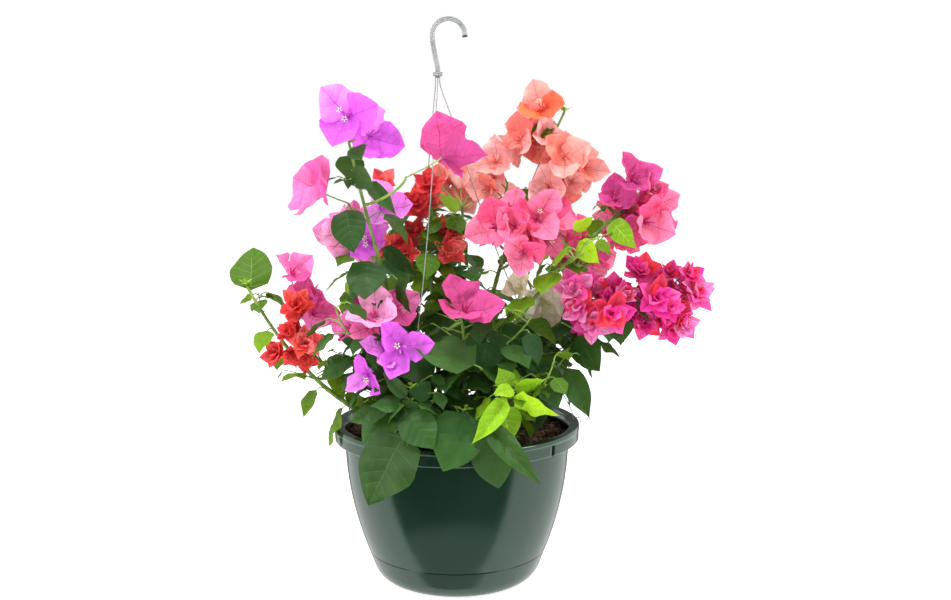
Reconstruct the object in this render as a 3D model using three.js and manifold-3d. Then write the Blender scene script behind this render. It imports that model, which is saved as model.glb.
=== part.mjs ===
// A flowering bougainvillea bush, grown from several rooted canes in a round plastic hanging basket with a
// clip-on saucer and a three-wire hanger. Millimetres, +Z up. The origin is the centre of the saucer's
// underside, and the front of the plant faces -Y.
import * as THREE from "three";
import { mergeVertices } from "three/addons/utils/BufferGeometryUtils.js";
import Module from "manifold-3d";

const wasm = await Module();
wasm.setup();
const { Manifold } = wasm;

// Driving sizes of the basket.
const POT_HEIGHT = 162;
const RIM_RADIUS = 127;
const LIP_RADIUS = 118;
const SKIRT_DEPTH = 16;
const SKIRT_RADIUS = 126.2;
const WALL = 2.2;
const NECK_RADIUS = 115.9;
const SHOULDER_RADIUS = 93.2;
const SHOULDER_HEIGHT = 30;
const BODY_CURVE = 1.95;
const SAUCER_FOOT_RADIUS = 76;
const SAUCER_TURN_RADIUS = 86;
const SAUCER_TURN_HEIGHT = 11;
const SOIL_HEIGHT = 148;
const GAP = 0.35;
const AROUND = 26;
const SLOT_TURN = 47;

// Driving sizes of the hanger.
const WIRE_RADIUS = 0.85;
const STRAND_SPACING = 2.15;
const WIRE_TURNS = [-25, 95, 215];
const WIRE_BOW = 11;
const EYELET_RADIUS = 121.6;
const EYELET_STEP = 4.6;
const EYELET_HOLE = 2;
const CROWN = new THREE.Vector3(-18.7, 0, 516);
const FERRULE_HEIGHT = 5;
const FERRULE_RADIUS = 5;
const HOOK_TOP = 573.5;
const HOOK_RADIUS = 16.4;

// Driving sizes of the growth.
const GOLDEN = Math.PI * (3 - Math.sqrt(5));
const BLADE_WIDEST = 0.38;
const BLADE_THICKNESS = 2;
const LEAF_WIDTH = 0.8;
const PETIOLE_RADIUS = 0.75;
const STEM_STEPS = 6;
const TWIG_STEPS = 3;
const STALK_STEPS = 4;
const STAR_THICKNESS = 3;
const NOTCH_SHARE = { 3: 0.56, 5: 0.5 };
const TWIG_RADIUS = 1.35;
const LEAF_TRIES = 6;
const HERO_STEPS = [0, 9, -9, 18, -18, 27, -27, 36];
const HERO_TRIES = HERO_STEPS.length;
const HERO_STRETCH = 1.5;
const BLOOM_TRIES = 40;
const TWIG_LEAVES = 3;

// Colours of the real thing.
const COLOURS = {
  pot: 0x24473a,
  soil: 0x33241b,
  wire: 0xb9bcb8,
  wood: 0x5c5a3a,
  dark: 0x2f5a2c,
  mid: 0x4c7a2f,
  lime: 0x9cc220,
  violet: 0xd355e6,
  pink: 0xf05aa8,
  magenta: 0xe0358a,
  hotpink: 0xe91e8c,
  red: 0xe0363c,
  coral: 0xf5837a,
  cream: 0xcfc3a4,
};

// One row per cane. foot is where it leaves the soil, rise how far it climbs straight up, over what it bends
// towards and tip its end. bare is the share without leaves, girth the radius at the soil, leaves and twigs
// how many it carries, blade the length of a full leaf. heroes are single large leaves: share of the cane,
// turn from the front towards the right in degrees, petiole, blade length, droop in degrees, the degrees that
// the blade swings from its petiole and rolls about its midrib, and for a narrow one its width per length.
const CANES = [
  { name: "left_tall", foot: [-42, -22], rise: 90, over: [-72, -56, 300], tip: [-104, -62, 455], bare: 0.3,
    girth: 3.2, leaves: 5, twigs: 1, blade: 44, tone: "dark",
    heroes: [[0.67, -26, 24, 48, 41, 24, -3], [0.81, -48, 25, 44, 59, 68, 21],
      [0.92, -85, 4, 30, 36, 144, 104], [0.89, 97, 7, 42, 48, -24, 73, 0.36],
      [0.97, 79, 5, 25, 28, -60, 32], [0.72, 104, 7, 44, 40, -28, 76, 0.38]] },
  { name: "left_low", foot: [-72, -16], rise: 30, over: [-132, -52, 170], tip: [-206, -46, 308], bare: 0.34,
    girth: 3.6, leaves: 7, twigs: 1, blade: 42, tone: "mid", heroes: [[0.985, 179, 4, 53, -52, 8, -8]] },
  { name: "left_mid", foot: [-58, -50], rise: 60, over: [-84, -76, 250], tip: [-92, -62, 312], bare: 0.25,
    girth: 2.6, leaves: 6, twigs: 1, blade: 46, tone: "dark",
    heroes: [[0.49, -92, 30, 38, 27, 12, -26], [0.97, 91, 30, 38, 58, -38, 98]] },
  { name: "centre_back", foot: [-18, 18], rise: 120, over: [-34, 10, 300], tip: [-24, -4, 398], bare: 0.3,
    girth: 3, leaves: 9, twigs: 1, blade: 38, tone: "mid", heroes: [] },
  { name: "coral", foot: [22, 26], rise: 110, over: [40, 30, 330], tip: [112, 34, 480], bare: 0.32,
    girth: 3.2, leaves: 8, twigs: 1, blade: 36, tone: "mid", heroes: [] },
  { name: "right_cane", foot: [16, -20], rise: 70, over: [70, -44, 310], tip: [190, -42, 404], bare: 0.45,
    girth: 3, leaves: 6, twigs: 1, blade: 38, tone: "lime",
    heroes: [[0.87, 18, 13, 38, 43, 45, 67, 0.55], [0.83, -76, 21, 24, -33, 146, 141],
      [0.8, -30, 14, 30, 45, 90, 101]] },
  { name: "right_low", foot: [52, -8], rise: 46, over: [116, -22, 262], tip: [228, -16, 300], bare: 0.3,
    girth: 3.2, leaves: 8, twigs: 2, blade: 44, tone: "dark",
    heroes: [[0.65, -39, 10, 42, 56, 97, 93], [0.41, 68, 30, 57, 62, -5, 62, 0.48]] },
  { name: "centre_front", foot: [6, -52], rise: 60, over: [12, -84, 236], tip: [2, -74, 296], bare: 0.25,
    girth: 2.8, leaves: 5, twigs: 1, blade: 50, tone: "dark",
    heroes: [[0.79, 72, 29, 46, 51, -101, -32], [0.54, 37, 42, 68, -18, -118, -22],
      [0.76, 159, 29, 46, 17, 122, -80], [0.66, 98, 47, 46, 48, -32, 68, 0.45],
      [0.76, 115, 36, 52, 26, -22, 85, 0.42], [0.52, -54, 35, 38, 7, -23, -48],
      [0.37, 38, 41, 27, -4, -110, -28]] },
  { name: "front_left", foot: [-44, -78], rise: 26, over: [-44, -90, 196], tip: [-43, -116, 220], bare: 0.2,
    girth: 2.4, leaves: 4, twigs: 1, blade: 36, tone: "dark",
    heroes: [[0.24, -15, 40, 74, 56, -50, -30], [0.6, -17, 28, 46, 41, 56, 47],
      [0.7, -23, 21, 30, -1, -63, -33], [0.81, 12, 11, 24, -41, 92, 89],
      [0.69, -19, 24, 22, 1, 88, 131], [0.82, -17, 11, 34, -46, -87, -74, 0.38],
      [0.55, -57, 20, 42, 42, -9, -38], [0.5, -96, 28, 34, 16, 24, -29], [0.29, -18, 37, 18, 56, -28, -4]] },
  { name: "front_low", foot: [-2, -88], rise: 18, over: [0, -100, 184], tip: [6, -113, 198], bare: 0.22,
    girth: 2, leaves: 2, twigs: 0, blade: 36, tone: "dark",
    heroes: [[0.91, 62, 6, 60, 50, -96, -41], [0.26, 12, 40, 50, 77, 31, 63],
      [0.53, 45, 39, 76, 38, 7, 59, 0.3]] },
  { name: "front_right", foot: [44, -70], rise: 30, over: [48, -92, 200], tip: [50, -114, 222], bare: 0.2,
    girth: 2.4, leaves: 4, twigs: 1, blade: 36, tone: "lime",
    heroes: [[0.97, -32, 3, 24, -54, -10, -129], [0.98, 62, 4, 34, -5, 43, 133],
      [0.77, 13, 20, 46, 23, 68, 138],
      [0.89, -7, 12, 21, 4, -77, -39], [0.74, -6, 25, 54, 48, -56, -65, 0.36], [0.98, 180, 5, 24, -45, 0, 0],
      [0.6, -12, 20, 36, 64, 40, 40]] },
  { name: "right_dark", foot: [70, 20], rise: 50, over: [96, 22, 230], tip: [112, 16, 282], bare: 0.25,
    girth: 2.8, leaves: 9, twigs: 2, blade: 50, tone: "dark", heroes: [[0.5, 80, 20, 52, 70, 0, 0]] },
  { name: "back_left", foot: [-52, 46], rise: 70, over: [-84, 76, 260], tip: [-116, 104, 344], bare: 0.28,
    girth: 3, leaves: 10, twigs: 2, blade: 46, tone: "mid", heroes: [] },
  { name: "back_centre", foot: [-4, 70], rise: 80, over: [2, 96, 280], tip: [8, 118, 392], bare: 0.28,
    girth: 3, leaves: 10, twigs: 2, blade: 46, tone: "dark", heroes: [] },
  { name: "back_right", foot: [54, 58], rise: 70, over: [100, 90, 250], tip: [156, 112, 330], bare: 0.28,
    girth: 3, leaves: 10, twigs: 2, blade: 46, tone: "mid", heroes: [] },
];

// One row per spray of blossom: the cane and the share of it where the spray leaves, the middle of its head,
// how far the head reaches each way, where its blooms look, how many there are, a bract's length, how many
// bracts a bloom has and how far they open in degrees. Blooms with a place of their own come first:
// x, y, z, then where it looks, then its bract's length.
const SPRAYS = [
  { name: "violet_crown", cane: "left_tall", at: 0.985, head: [-93, -58, 466], reach: [20, 20, 12],
    face: [-0.1, -1, 0.25], blooms: 2, bract: 36, bracts: 3, open: 64, colour: "violet",
    heroes: [[-104, -80, 474, -0.15, -1, 0.2, 38], [-78, -38, 455, 0.45, -0.6, 0.1, 36]] },
  { name: "pink_left", cane: "left_tall", at: 0.8, head: [-132, -78, 402], reach: [13, 8, 8],
    face: [-0.7, -0.5, 0.3], blooms: 1, bract: 36, bracts: 3, open: 52, colour: "pink",
    heroes: [[-134, -80, 404, -0.75, -0.5, 0.4, 38]] },
  { name: "magenta_high", cane: "left_tall", at: 0.84, head: [-9, -82, 440], reach: [0, 0, 0],
    face: [0.55, 0.1, 0.35], blooms: 1, bract: 46, bracts: 3, open: 58, colour: "magenta",
    heroes: [[-6, -80, 442, 0.4, 0.5, 0.45, 44]] },
  { name: "violet_behind", cane: "left_tall", at: 0.7, head: [-80, -24, 370], reach: [10, 8, 26],
    face: [0.3, -0.6, 0.5], blooms: 2, bract: 34, bracts: 3, open: 60, colour: "violet",
    heroes: [[-72, -22, 386, 0.3, -0.8, 0.4, 34], [-88, -40, 352, -0.3, -0.8, 0.3, 28]] },
  { name: "pink_low_left", cane: "left_low", at: 0.8, head: [-152, -24, 302], reach: [14, 10, 34],
    face: [0.4, -0.7, 0.4], blooms: 2, bract: 29, bracts: 3, open: 56, colour: "pink",
    heroes: [[-161, -30, 324, 0.35, -0.6, 0.6, 28], [-140, -22, 278, 0.5, -0.6, 0.2, 29]] },
  { name: "red_left", cane: "left_low", at: 0.56, head: [-154, -66, 262], reach: [20, 18, 30],
    face: [0, -0.9, 0.3], blooms: 4, bract: 22, bracts: 5, open: 62, colour: "red",
    heroes: [[-156, -62, 292, 0.1, -0.8, 0.4, 24], [-146, -72, 256, 0.1, -0.9, 0.3, 22],
      [-176, -72, 246, -0.5, -0.7, 0.3, 20]] },
  { name: "pink_front", cane: "left_mid", at: 0.86, head: [-82, -82, 283], reach: [26, 16, 14],
    face: [-0.2, -0.8, 0.5], blooms: 3, bract: 32, bracts: 3, open: 58, colour: "pink",
    heroes: [[-78, -98, 292, -0.1, -0.7, 0.65, 35], [-108, -64, 272, -0.6, -0.5, 0.4, 24],
      [-53, -66, 291, 0.5, -0.6, 0.3, 27]] },
  { name: "violet_front", cane: "left_mid", at: 0.6, head: [-66, -110, 246], reach: [18, 12, 20],
    face: [0.15, -1, 0.1], blooms: 2, bract: 32, bracts: 3, open: 68, colour: "violet",
    heroes: [[-51, -124, 259, 0.1, -1, 0.05, 34], [-88, -108, 228, -0.5, -0.8, -0.1, 28]] },
  { name: "red_high", cane: "centre_back", at: 0.93, head: [-44, 0, 396], reach: [38, 22, 20],
    face: [0, -0.8, 0.5], blooms: 4, bract: 23, bracts: 5, open: 62, colour: "red",
    heroes: [[-40, -8, 388, 0, -0.9, 0.3, 24], [-76, 2, 408, -0.2, -0.8, 0.4, 22]] },
  { name: "red_middle", cane: "centre_back", at: 0.75, head: [-36, -2, 346], reach: [44, 26, 28],
    face: [0, -0.8, 0.5], blooms: 4, bract: 25, bracts: 5, open: 62, colour: "red", heroes: [] },
  { name: "coral_top", cane: "coral", at: 0.95, head: [76, 22, 468], reach: [30, 26, 34],
    face: [-0.3, -0.8, 0.4], blooms: 4, bract: 31, bracts: 3, open: 54, colour: "coral",
    heroes: [[86, 14, 487, -0.1, -0.9, 0.4, 33], [62, 4, 455, -0.4, -0.8, 0.3, 31]] },
  { name: "coral_middle", cane: "coral", at: 0.86, head: [112, 8, 424], reach: [30, 26, 36],
    face: [0.1, -0.9, 0.3], blooms: 4, bract: 31, bracts: 3, open: 54, colour: "coral",
    heroes: [[110, -8, 436, 0, -1, 0.3, 34], [92, -4, 404, -0.3, -0.9, 0.1, 30]] },
  { name: "coral_left", cane: "coral", at: 0.62, head: [34, 18, 417], reach: [10, 10, 16],
    face: [-0.6, -0.6, 0.3], blooms: 2, bract: 29, bracts: 3, open: 54, colour: "coral",
    heroes: [[38, 10, 432, -0.3, -0.9, 0.3, 30], [28, 4, 401, -0.6, -0.7, 0, 26]] },
  { name: "magenta_middle", cane: "coral", at: 0.56, head: [66, -40, 366], reach: [48, 28, 26],
    face: [-0.1, -0.9, 0.5], blooms: 6, bract: 32, bracts: 3, open: 58, colour: "magenta",
    heroes: [[34, -46, 368, -0.4, -0.9, 0.3, 34], [80, -54, 378, 0.1, -0.9, 0.4, 36],
      [64, -70, 342, -0.1, -1, -0.1, 28]] },
  { name: "magenta_right", cane: "right_cane", at: 0.9, head: [176, -46, 390], reach: [34, 24, 34],
    face: [0.5, -0.7, 0.4], blooms: 5, bract: 31, bracts: 3, open: 54, colour: "magenta",
    heroes: [[174, -54, 416, 0.3, -0.8, 0.5, 33], [188, -64, 372, 0.5, -0.8, 0.1, 33]] },
  { name: "hotpink_near", cane: "right_low", at: 0.62, head: [142, -28, 290], reach: [40, 34, 28],
    face: [0, -0.7, 0.5], blooms: 6, bract: 27, bracts: 5, open: 66, colour: "hotpink",
    heroes: [[116, -40, 304, -0.2, -0.9, 0.4, 28], [152, -60, 282, 0.1, -1, 0.2, 28]] },
  { name: "hotpink_far", cane: "right_low", at: 0.9, head: [212, -20, 294], reach: [46, 40, 36],
    face: [0.3, -0.7, 0.4], blooms: 8, bract: 28, bracts: 5, open: 66, colour: "hotpink",
    heroes: [[186, -24, 322, -0.1, -0.7, 0.7, 27], [196, -58, 298, 0.1, -1, 0.3, 28],
      [240, -40, 300, 0.5, -0.8, 0.3, 27]] },
  { name: "pink_fold", cane: "centre_front", at: 0.88, head: [12, -101, 300], reach: [0, 0, 0],
    face: [0.5, -0.5, 0.7], blooms: 1, bract: 44, bracts: 3, open: 64, colour: "magenta",
    heroes: [[10, -106, 300, 0.2, -0.5, 0.8, 40]] },
  { name: "cream_right", cane: "right_dark", at: 0.9, head: [84, -4, 292], reach: [14, 8, 12],
    face: [0.2, -0.8, -0.3], blooms: 2, bract: 38, bracts: 3, open: 58, colour: "cream",
    heroes: [[90, -26, 286, 0.15, -0.95, -0.2, 38], [60, -44, 308, -0.6, -0.6, 0.5, 22]] },
  { name: "pink_back", cane: "back_left", at: 0.9, head: [-112, 104, 350], reach: [42, 34, 32],
    face: [-0.5, 0.7, 0.5], blooms: 4, bract: 35, bracts: 3, open: 58, colour: "pink", heroes: [] },
  { name: "coral_back", cane: "back_centre", at: 0.92, head: [6, 116, 400], reach: [44, 32, 34],
    face: [0, 0.8, 0.5], blooms: 4, bract: 35, bracts: 3, open: 58, colour: "coral", heroes: [] },
  { name: "magenta_back", cane: "back_right", at: 0.9, head: [150, 112, 334], reach: [42, 34, 32],
    face: [0.5, 0.7, 0.5], blooms: 4, bract: 35, bracts: 3, open: 58, colour: "magenta", heroes: [] },
];

const UP = new THREE.Vector3(0, 0, 1);
const radians = (degrees) => (degrees * Math.PI) / 180;
const point = ([x, y, z]) => new THREE.Vector3(x, y, z);

// A level direction: turn 0 looks at the front, 90 to the right.
const heading = (turn) => new THREE.Vector3(Math.sin(turn), -Math.cos(turn), 0);

// The same numbers each run, from 0 to 1, for one organ of one node.
function seededRandom(node, organ) {
  let state = (node * 7919 + organ * 104729 + 17) % 2147483647;
  for (let i = 0; i < 3; i += 1) state = (state * 48271) % 2147483647;
  return () => {
    state = (state * 48271) % 2147483647;
    return state / 2147483647;
  };
}

function solidOf(geometry) {
  const bare = geometry.index ? geometry.toNonIndexed() : geometry.clone();
  bare.deleteAttribute("normal");
  bare.deleteAttribute("uv");
  const merged = mergeVertices(bare, 1e-4);
  return new Manifold(
    new wasm.Mesh({
      numProp: 3,
      vertProperties: merged.attributes.position.array,
      triVerts: new Uint32Array(merged.index.array),
    }),
  );
}

function geometryOf(solid) {
  const mesh = solid.getMesh();
  const geometry = new THREE.BufferGeometry();
  geometry.setAttribute("position", new THREE.BufferAttribute(mesh.vertProperties, 3));
  geometry.setIndex(new THREE.BufferAttribute(mesh.triVerts, 1));
  geometry.computeVertexNormals();
  return geometry;
}

// A solid turned about the Z axis from a closed outline of [radius, height] pairs, listed anticlockwise.
function turned(outline, segments = AROUND) {
  const closed = [...outline, outline[0]].map(([r, z]) => new THREE.Vector2(r, z));
  return solidOf(new THREE.LatheGeometry(closed, segments).rotateX(Math.PI / 2));
}

// A tapering limb along part of a curve: a cylinder whose rings are carried along it without twisting.
function limb(curve, from, to, radiusAt, sides, steps) {
  const first = curve.getTangent(from);
  const aside = Math.abs(first.z) > 0.9 ? new THREE.Vector3(0, 1, 0) : UP;
  const across = new THREE.Vector3().crossVectors(first, aside);
  const rings = Array.from({ length: steps + 1 }, (_, i) => {
    const t = from + ((to - from) * i) / steps;
    const tangent = curve.getTangent(t);
    across.addScaledVector(tangent, -across.dot(tangent)).normalize();
    const other = new THREE.Vector3().crossVectors(across, tangent);
    return { at: curve.getPoint(t), across: across.clone(), other, radius: radiusAt(t) };
  });
  const geometry = new THREE.CylinderGeometry(1, 1, 1, sides, steps);
  const place = geometry.attributes.position;
  for (let i = 0; i < place.count; i += 1) {
    const ring = rings[Math.round((place.getY(i) + 0.5) * steps)];
    const at = ring.at
      .clone()
      .addScaledVector(ring.across, place.getX(i) * ring.radius)
      .addScaledVector(ring.other, place.getZ(i) * ring.radius);
    place.setXYZ(i, at.x, at.y, at.z);
  }
  return solidOf(geometry);
}

// The point at t on the straight stretches of a limb, where leaves and stalks are rooted.
function onLimb(curve, from, to, steps, t) {
  const along = ((Math.min(t, 0.985) - from) / (to - from)) * steps;
  const first = Math.min(Math.floor(along), steps - 1);
  const ring = (i) => curve.getPoint(from + ((to - from) * i) / steps);
  return ring(first).lerp(ring(first + 1), along - first);
}

// A leaf with its petiole as one three-sided solid: rings at the root, the foot of the blade and its widest
// place, then the tip. Two corners of each ring are the edges and the third is the keel under the midrib.
function leafSolid(root, foot, along, up, length, width) {
  const across = new THREE.Vector3().crossVectors(along, up);
  const stalk = foot.clone().sub(root).normalize();
  const knee = stalk.clone().add(along).normalize();
  const widest = foot.clone().addScaledVector(along, length * BLADE_WIDEST);
  const rings = [
    { at: root, run: stalk, half: PETIOLE_RADIUS, keel: 2 * PETIOLE_RADIUS },
    { at: foot, run: knee, half: PETIOLE_RADIUS, keel: 2 * PETIOLE_RADIUS },
    { at: widest, run: along, half: width / 2, keel: BLADE_THICKNESS },
    { at: foot.clone().addScaledVector(along, length), run: along, half: 0, keel: 0 },
  ];
  const geometry = new THREE.ConeGeometry(1, 1, 3, 3);
  const place = geometry.attributes.position;
  for (let i = 0; i < place.count; i += 1) {
    const level = Math.round((place.getY(i) + 0.5) * 3);
    const { at, run, half, keel } = rings[level];
    const reach = 1 - Math.min(level, 2) / 3;
    const side = across.clone().addScaledVector(run, -across.dot(run)).normalize();
    const over = new THREE.Vector3().crossVectors(side, run);
    const corner = at
      .clone()
      .addScaledVector(side, (-place.getX(i) / reach / Math.sin(Math.PI / 3)) * half)
      .addScaledVector(over, (0.5 - (place.getZ(i) / reach + 0.5) / 1.5) * keel);
    place.setXYZ(i, corner.x, corner.y, corner.z);
  }
  return solidOf(geometry);
}

// The bracts of a bloom as one thin star-shaped cup: its rim runs through the tips and the notches between
// them, and its upper and lower faces each have a centre.
function starRim(hub, face, size, open, bracts, roll, step) {
  const side = new THREE.Vector3().crossVectors(face, UP).normalize();
  const rise = new THREE.Vector3().crossVectors(face, side);
  const angle = roll + (Math.PI * step) / bracts;
  const reach = step % 2 === 1 ? size * NOTCH_SHARE[bracts] : size;
  return hub
    .clone()
    .addScaledVector(face, Math.cos(open) * reach)
    .addScaledVector(side, Math.cos(angle) * Math.sin(open) * reach)
    .addScaledVector(rise, Math.sin(angle) * Math.sin(open) * reach);
}

function starSolid(hub, face, size, open, bracts, roll) {
  const geometry = new THREE.SphereGeometry(1, bracts * 2, 2);
  const place = geometry.attributes.position;
  for (let i = 0; i < place.count; i += 1) {
    const [x, y, z] = [place.getX(i), place.getY(i), place.getZ(i)];
    const step = (Math.round((Math.atan2(z, -x) / Math.PI) * bracts) + 2 * bracts) % (2 * bracts);
    const centre = hub.clone().addScaledVector(face, y > 0 ? STAR_THICKNESS : 0);
    const at = Math.abs(y) > 0.5 ? centre : starRim(hub, face, size, open, bracts, roll, step);
    place.setXYZ(i, at.x, at.y, at.z);
  }
  return solidOf(geometry);
}

// The pot's outer radius between its shoulder and the underside of its rim.
function bodyRadius(height) {
  const neck = POT_HEIGHT - SKIRT_DEPTH;
  const drop = (neck - height) / (neck - SHOULDER_HEIGHT);
  return NECK_RADIUS - (NECK_RADIUS - SHOULDER_RADIUS) * drop ** BODY_CURVE;
}

// The outline of the body from the shoulder to the neck, as [radius, height], set in by inset.
function bodyOutline(inset, steps) {
  const neck = POT_HEIGHT - SKIRT_DEPTH;
  return Array.from({ length: steps + 1 }, (_, i) => {
    const height = SHOULDER_HEIGHT + ((neck - SHOULDER_HEIGHT) * i) / steps;
    return [bodyRadius(height) - inset, height];
  });
}

// The saucer's outline up to its top, set in by inset and with its foot raised by lift. The part of the
// basket that stands inside the saucer follows it.
function saucerOutline(inset, lift, top) {
  return [
    [SAUCER_FOOT_RADIUS - inset * 0.6, lift],
    [SAUCER_TURN_RADIUS - 4 - inset, SAUCER_TURN_HEIGHT * 0.42 + lift * 0.4],
    [SAUCER_TURN_RADIUS - inset, SAUCER_TURN_HEIGHT + lift * 0.2],
    [SHOULDER_RADIUS - 0.2 - inset, top],
  ];
}

function makeSaucer() {
  return turned([
    [0, 0],
    ...saucerOutline(0, 0, SHOULDER_HEIGHT - GAP),
    ...saucerOutline(WALL, WALL, SHOULDER_HEIGHT - GAP).reverse(),
    [0, WALL],
  ]);
}

function makePot() {
  const foot = WALL + GAP;
  const neck = POT_HEIGHT - SKIRT_DEPTH;
  const underLip = POT_HEIGHT - WALL;
  const shell = turned([
    [0, foot],
    ...saucerOutline(WALL + GAP + 0.1, foot, SHOULDER_HEIGHT),
    ...bodyOutline(0, 4),
    [LIP_RADIUS + 1.6, underLip],
    [SKIRT_RADIUS - WALL, underLip],
    [SKIRT_RADIUS - WALL, neck],
    [SKIRT_RADIUS, neck],
    [RIM_RADIUS, POT_HEIGHT - 3],
    [RIM_RADIUS - 1, POT_HEIGHT],
    [LIP_RADIUS + 1, POT_HEIGHT],
    [LIP_RADIUS, POT_HEIGHT - 1],
    ...bodyOutline(WALL, 4).slice(1).reverse(),
    ...saucerOutline(2 * WALL + GAP, foot + WALL, SHOULDER_HEIGHT).reverse(),
    [0, foot + WALL],
  ]);
  const eyelets = WIRE_TURNS.flatMap((turn) =>
    [turn, turn - EYELET_STEP].map((each) => {
      const at = heading(radians(each)).multiplyScalar(EYELET_RADIUS);
      const hole = new THREE.CylinderGeometry(1, 1, 8, 6).scale(EYELET_HOLE, 1, EYELET_HOLE);
      return solidOf(hole.rotateX(Math.PI / 2).translate(at.x, at.y, POT_HEIGHT - 1));
    }),
  );
  const slots = [SLOT_TURN, SLOT_TURN + 180].map((turn) => {
    const slot = new THREE.BoxGeometry(2, 8, SKIRT_DEPTH - 2 * WALL).translate(0, -SKIRT_RADIUS, neck + 5);
    return solidOf(slot.rotateZ(radians(turn)));
  });
  return shell.subtract(Manifold.union([...eyelets, ...slots]));
}

function makeSoil() {
  const foot = 2 * WALL + 2 * GAP;
  const side = bodyOutline(WALL + GAP, 4).slice(1, 4);
  return turned([
    [0, foot],
    ...saucerOutline(2 * WALL + 2 * GAP + 0.1, foot, SHOULDER_HEIGHT),
    ...side,
    [side.at(-1)[0] + 0.1, SOIL_HEIGHT - 2],
    [side.at(-1)[0] - 3, SOIL_HEIGHT],
    [0, SOIL_HEIGHT],
  ]);
}

// The line of one hanger wire: down from the ferrule, bowed inwards, through an eyelet in the lip, under the
// lip to the next eyelet, and out over the edge of the rim.
function wireLine(index) {
  const turn = radians(WIRE_TURNS[index]);
  const next = turn - radians(EYELET_STEP);
  const strand = [0, 1, -1][index] * STRAND_SPACING;
  const start = new THREE.Vector3(CROWN.x + strand, 0, CROWN.z - FERRULE_HEIGHT / 2 - GAP);
  const eyelet = heading(turn).multiplyScalar(EYELET_RADIUS).setZ(POT_HEIGHT);
  const inward = heading(turn).multiplyScalar(-WIRE_BOW);
  const along = (share) =>
    start
      .clone()
      .lerp(eyelet, share)
      .addScaledVector(inward, Math.sin(Math.PI * share));
  const ring = (angle, radius, height) => heading(angle).multiplyScalar(radius).setZ(height);
  const under = POT_HEIGHT - 7;
  return new THREE.CatmullRomCurve3(
    [
      start,
      start.clone().setZ(start.z - 6),
      along(0.12),
      along(0.35),
      along(0.6),
      along(0.85),
      ring(turn, EYELET_RADIUS, POT_HEIGHT + 5),
      ring(turn, EYELET_RADIUS, POT_HEIGHT - 3.4),
      ring((turn + next) / 2, EYELET_RADIUS, under),
      ring(next, EYELET_RADIUS, POT_HEIGHT - 3.4),
      ring(next, EYELET_RADIUS, POT_HEIGHT + 1),
      ring(next, EYELET_RADIUS + 3.4, POT_HEIGHT + 2.4),
      ring(next, RIM_RADIUS + 1.4, POT_HEIGHT + 0.6),
      ring(next, RIM_RADIUS + 1.6, POT_HEIGHT - 5),
    ],
    false,
    "centripetal",
  );
}

const makeWire = (index) => limb(wireLine(index), 0, 1, () => WIRE_RADIUS, 5, 22);

// The three strands side by side in the plane of the hook, as one flat bundle from the ferrule to the tip.
function makeHook() {
  const half = STRAND_SPACING + WIRE_RADIUS;
  const bundle = new THREE.Shape(
    [
      [0.7, half],
      [-0.7, half],
      [-WIRE_RADIUS, half - 0.7],
      [-WIRE_RADIUS, 0.7 - half],
      [-0.7, -half],
      [0.7, -half],
      [WIRE_RADIUS, 0.7 - half],
      [WIRE_RADIUS, half - 0.7],
    ].map(([x, y]) => new THREE.Vector2(x, y)),
  );
  const centre = new THREE.Vector3(CROWN.x + HOOK_RADIUS - 5.5, 0, HOOK_TOP - half - HOOK_RADIUS);
  const arc = Array.from({ length: 9 }, (_, i) => {
    const angle = radians(192 - i * 24.5);
    return new THREE.Vector3(Math.cos(angle), 0, Math.sin(angle)).multiplyScalar(HOOK_RADIUS).add(centre);
  });
  const line = new THREE.CatmullRomCurve3(
    [
      new THREE.Vector3(CROWN.x, 0, CROWN.z - FERRULE_HEIGHT / 2),
      new THREE.Vector3(CROWN.x, 0, CROWN.z + 6),
      new THREE.Vector3(CROWN.x - 2.5, 0, CROWN.z + 18),
      ...arc,
    ],
    false,
    "centripetal",
  );
  return solidOf(new THREE.ExtrudeGeometry(bundle, { extrudePath: line, steps: 22 }));
}

function makeFerrule() {
  const hole = STRAND_SPACING + WIRE_RADIUS + GAP + 0.3;
  const half = FERRULE_HEIGHT / 2 - 0.6;
  return turned(
    [
      [hole, -half],
      [FERRULE_RADIUS, -half],
      [FERRULE_RADIUS, half],
      [hole, half],
    ],
    10,
  ).translate([CROWN.x, CROWN.y, CROWN.z]);
}

// Everything that stands in the way of new growth. A leaf or bloom has a head, the part without its stalk.
const placed = [];

function remember(node, kind, whole, head = whole) {
  placed.push({ node, kind, whole, head, wholeBox: whole.boundingBox(), headBox: head.boundingBox() });
  return whole;
}

const apart = (a, b) =>
  [0, 1, 2].some((axis) => a.min[axis] > b.max[axis] + 0.5 || b.min[axis] > a.max[axis] + 0.5);

// Whether a leaf or bloom keeps clear of all that is placed. Stalks of one node may meet where they are
// rooted, so within a node only heads have to stay off the rest.
function isClear({ whole, head }, node) {
  const [wholeBox, headBox] = [whole.boundingBox(), head.boundingBox()];
  const off = (a, boxA, b, boxB) => apart(boxA, boxB) || a.minGap(b, 1) > GAP;
  return placed.every((other) => {
    if (other.node !== node) return off(whole, wholeBox, other.whole, other.wholeBox);
    if (other.kind === "limb") return off(head, headBox, other.whole, other.wholeBox);
    return off(head, headBox, other.whole, other.wholeBox) && off(whole, wholeBox, other.head, other.headBox);
  });
}

// Takes the first of several tries at a leaf or bloom that keeps clear, or none.
function settle(node, tries, attempt) {
  for (let k = 0; k < tries; k += 1) {
    const organ = attempt(k);
    if (isClear(organ, node)) return remember(node, "organ", organ.whole, organ.head);
  }
  return null;
}

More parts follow.
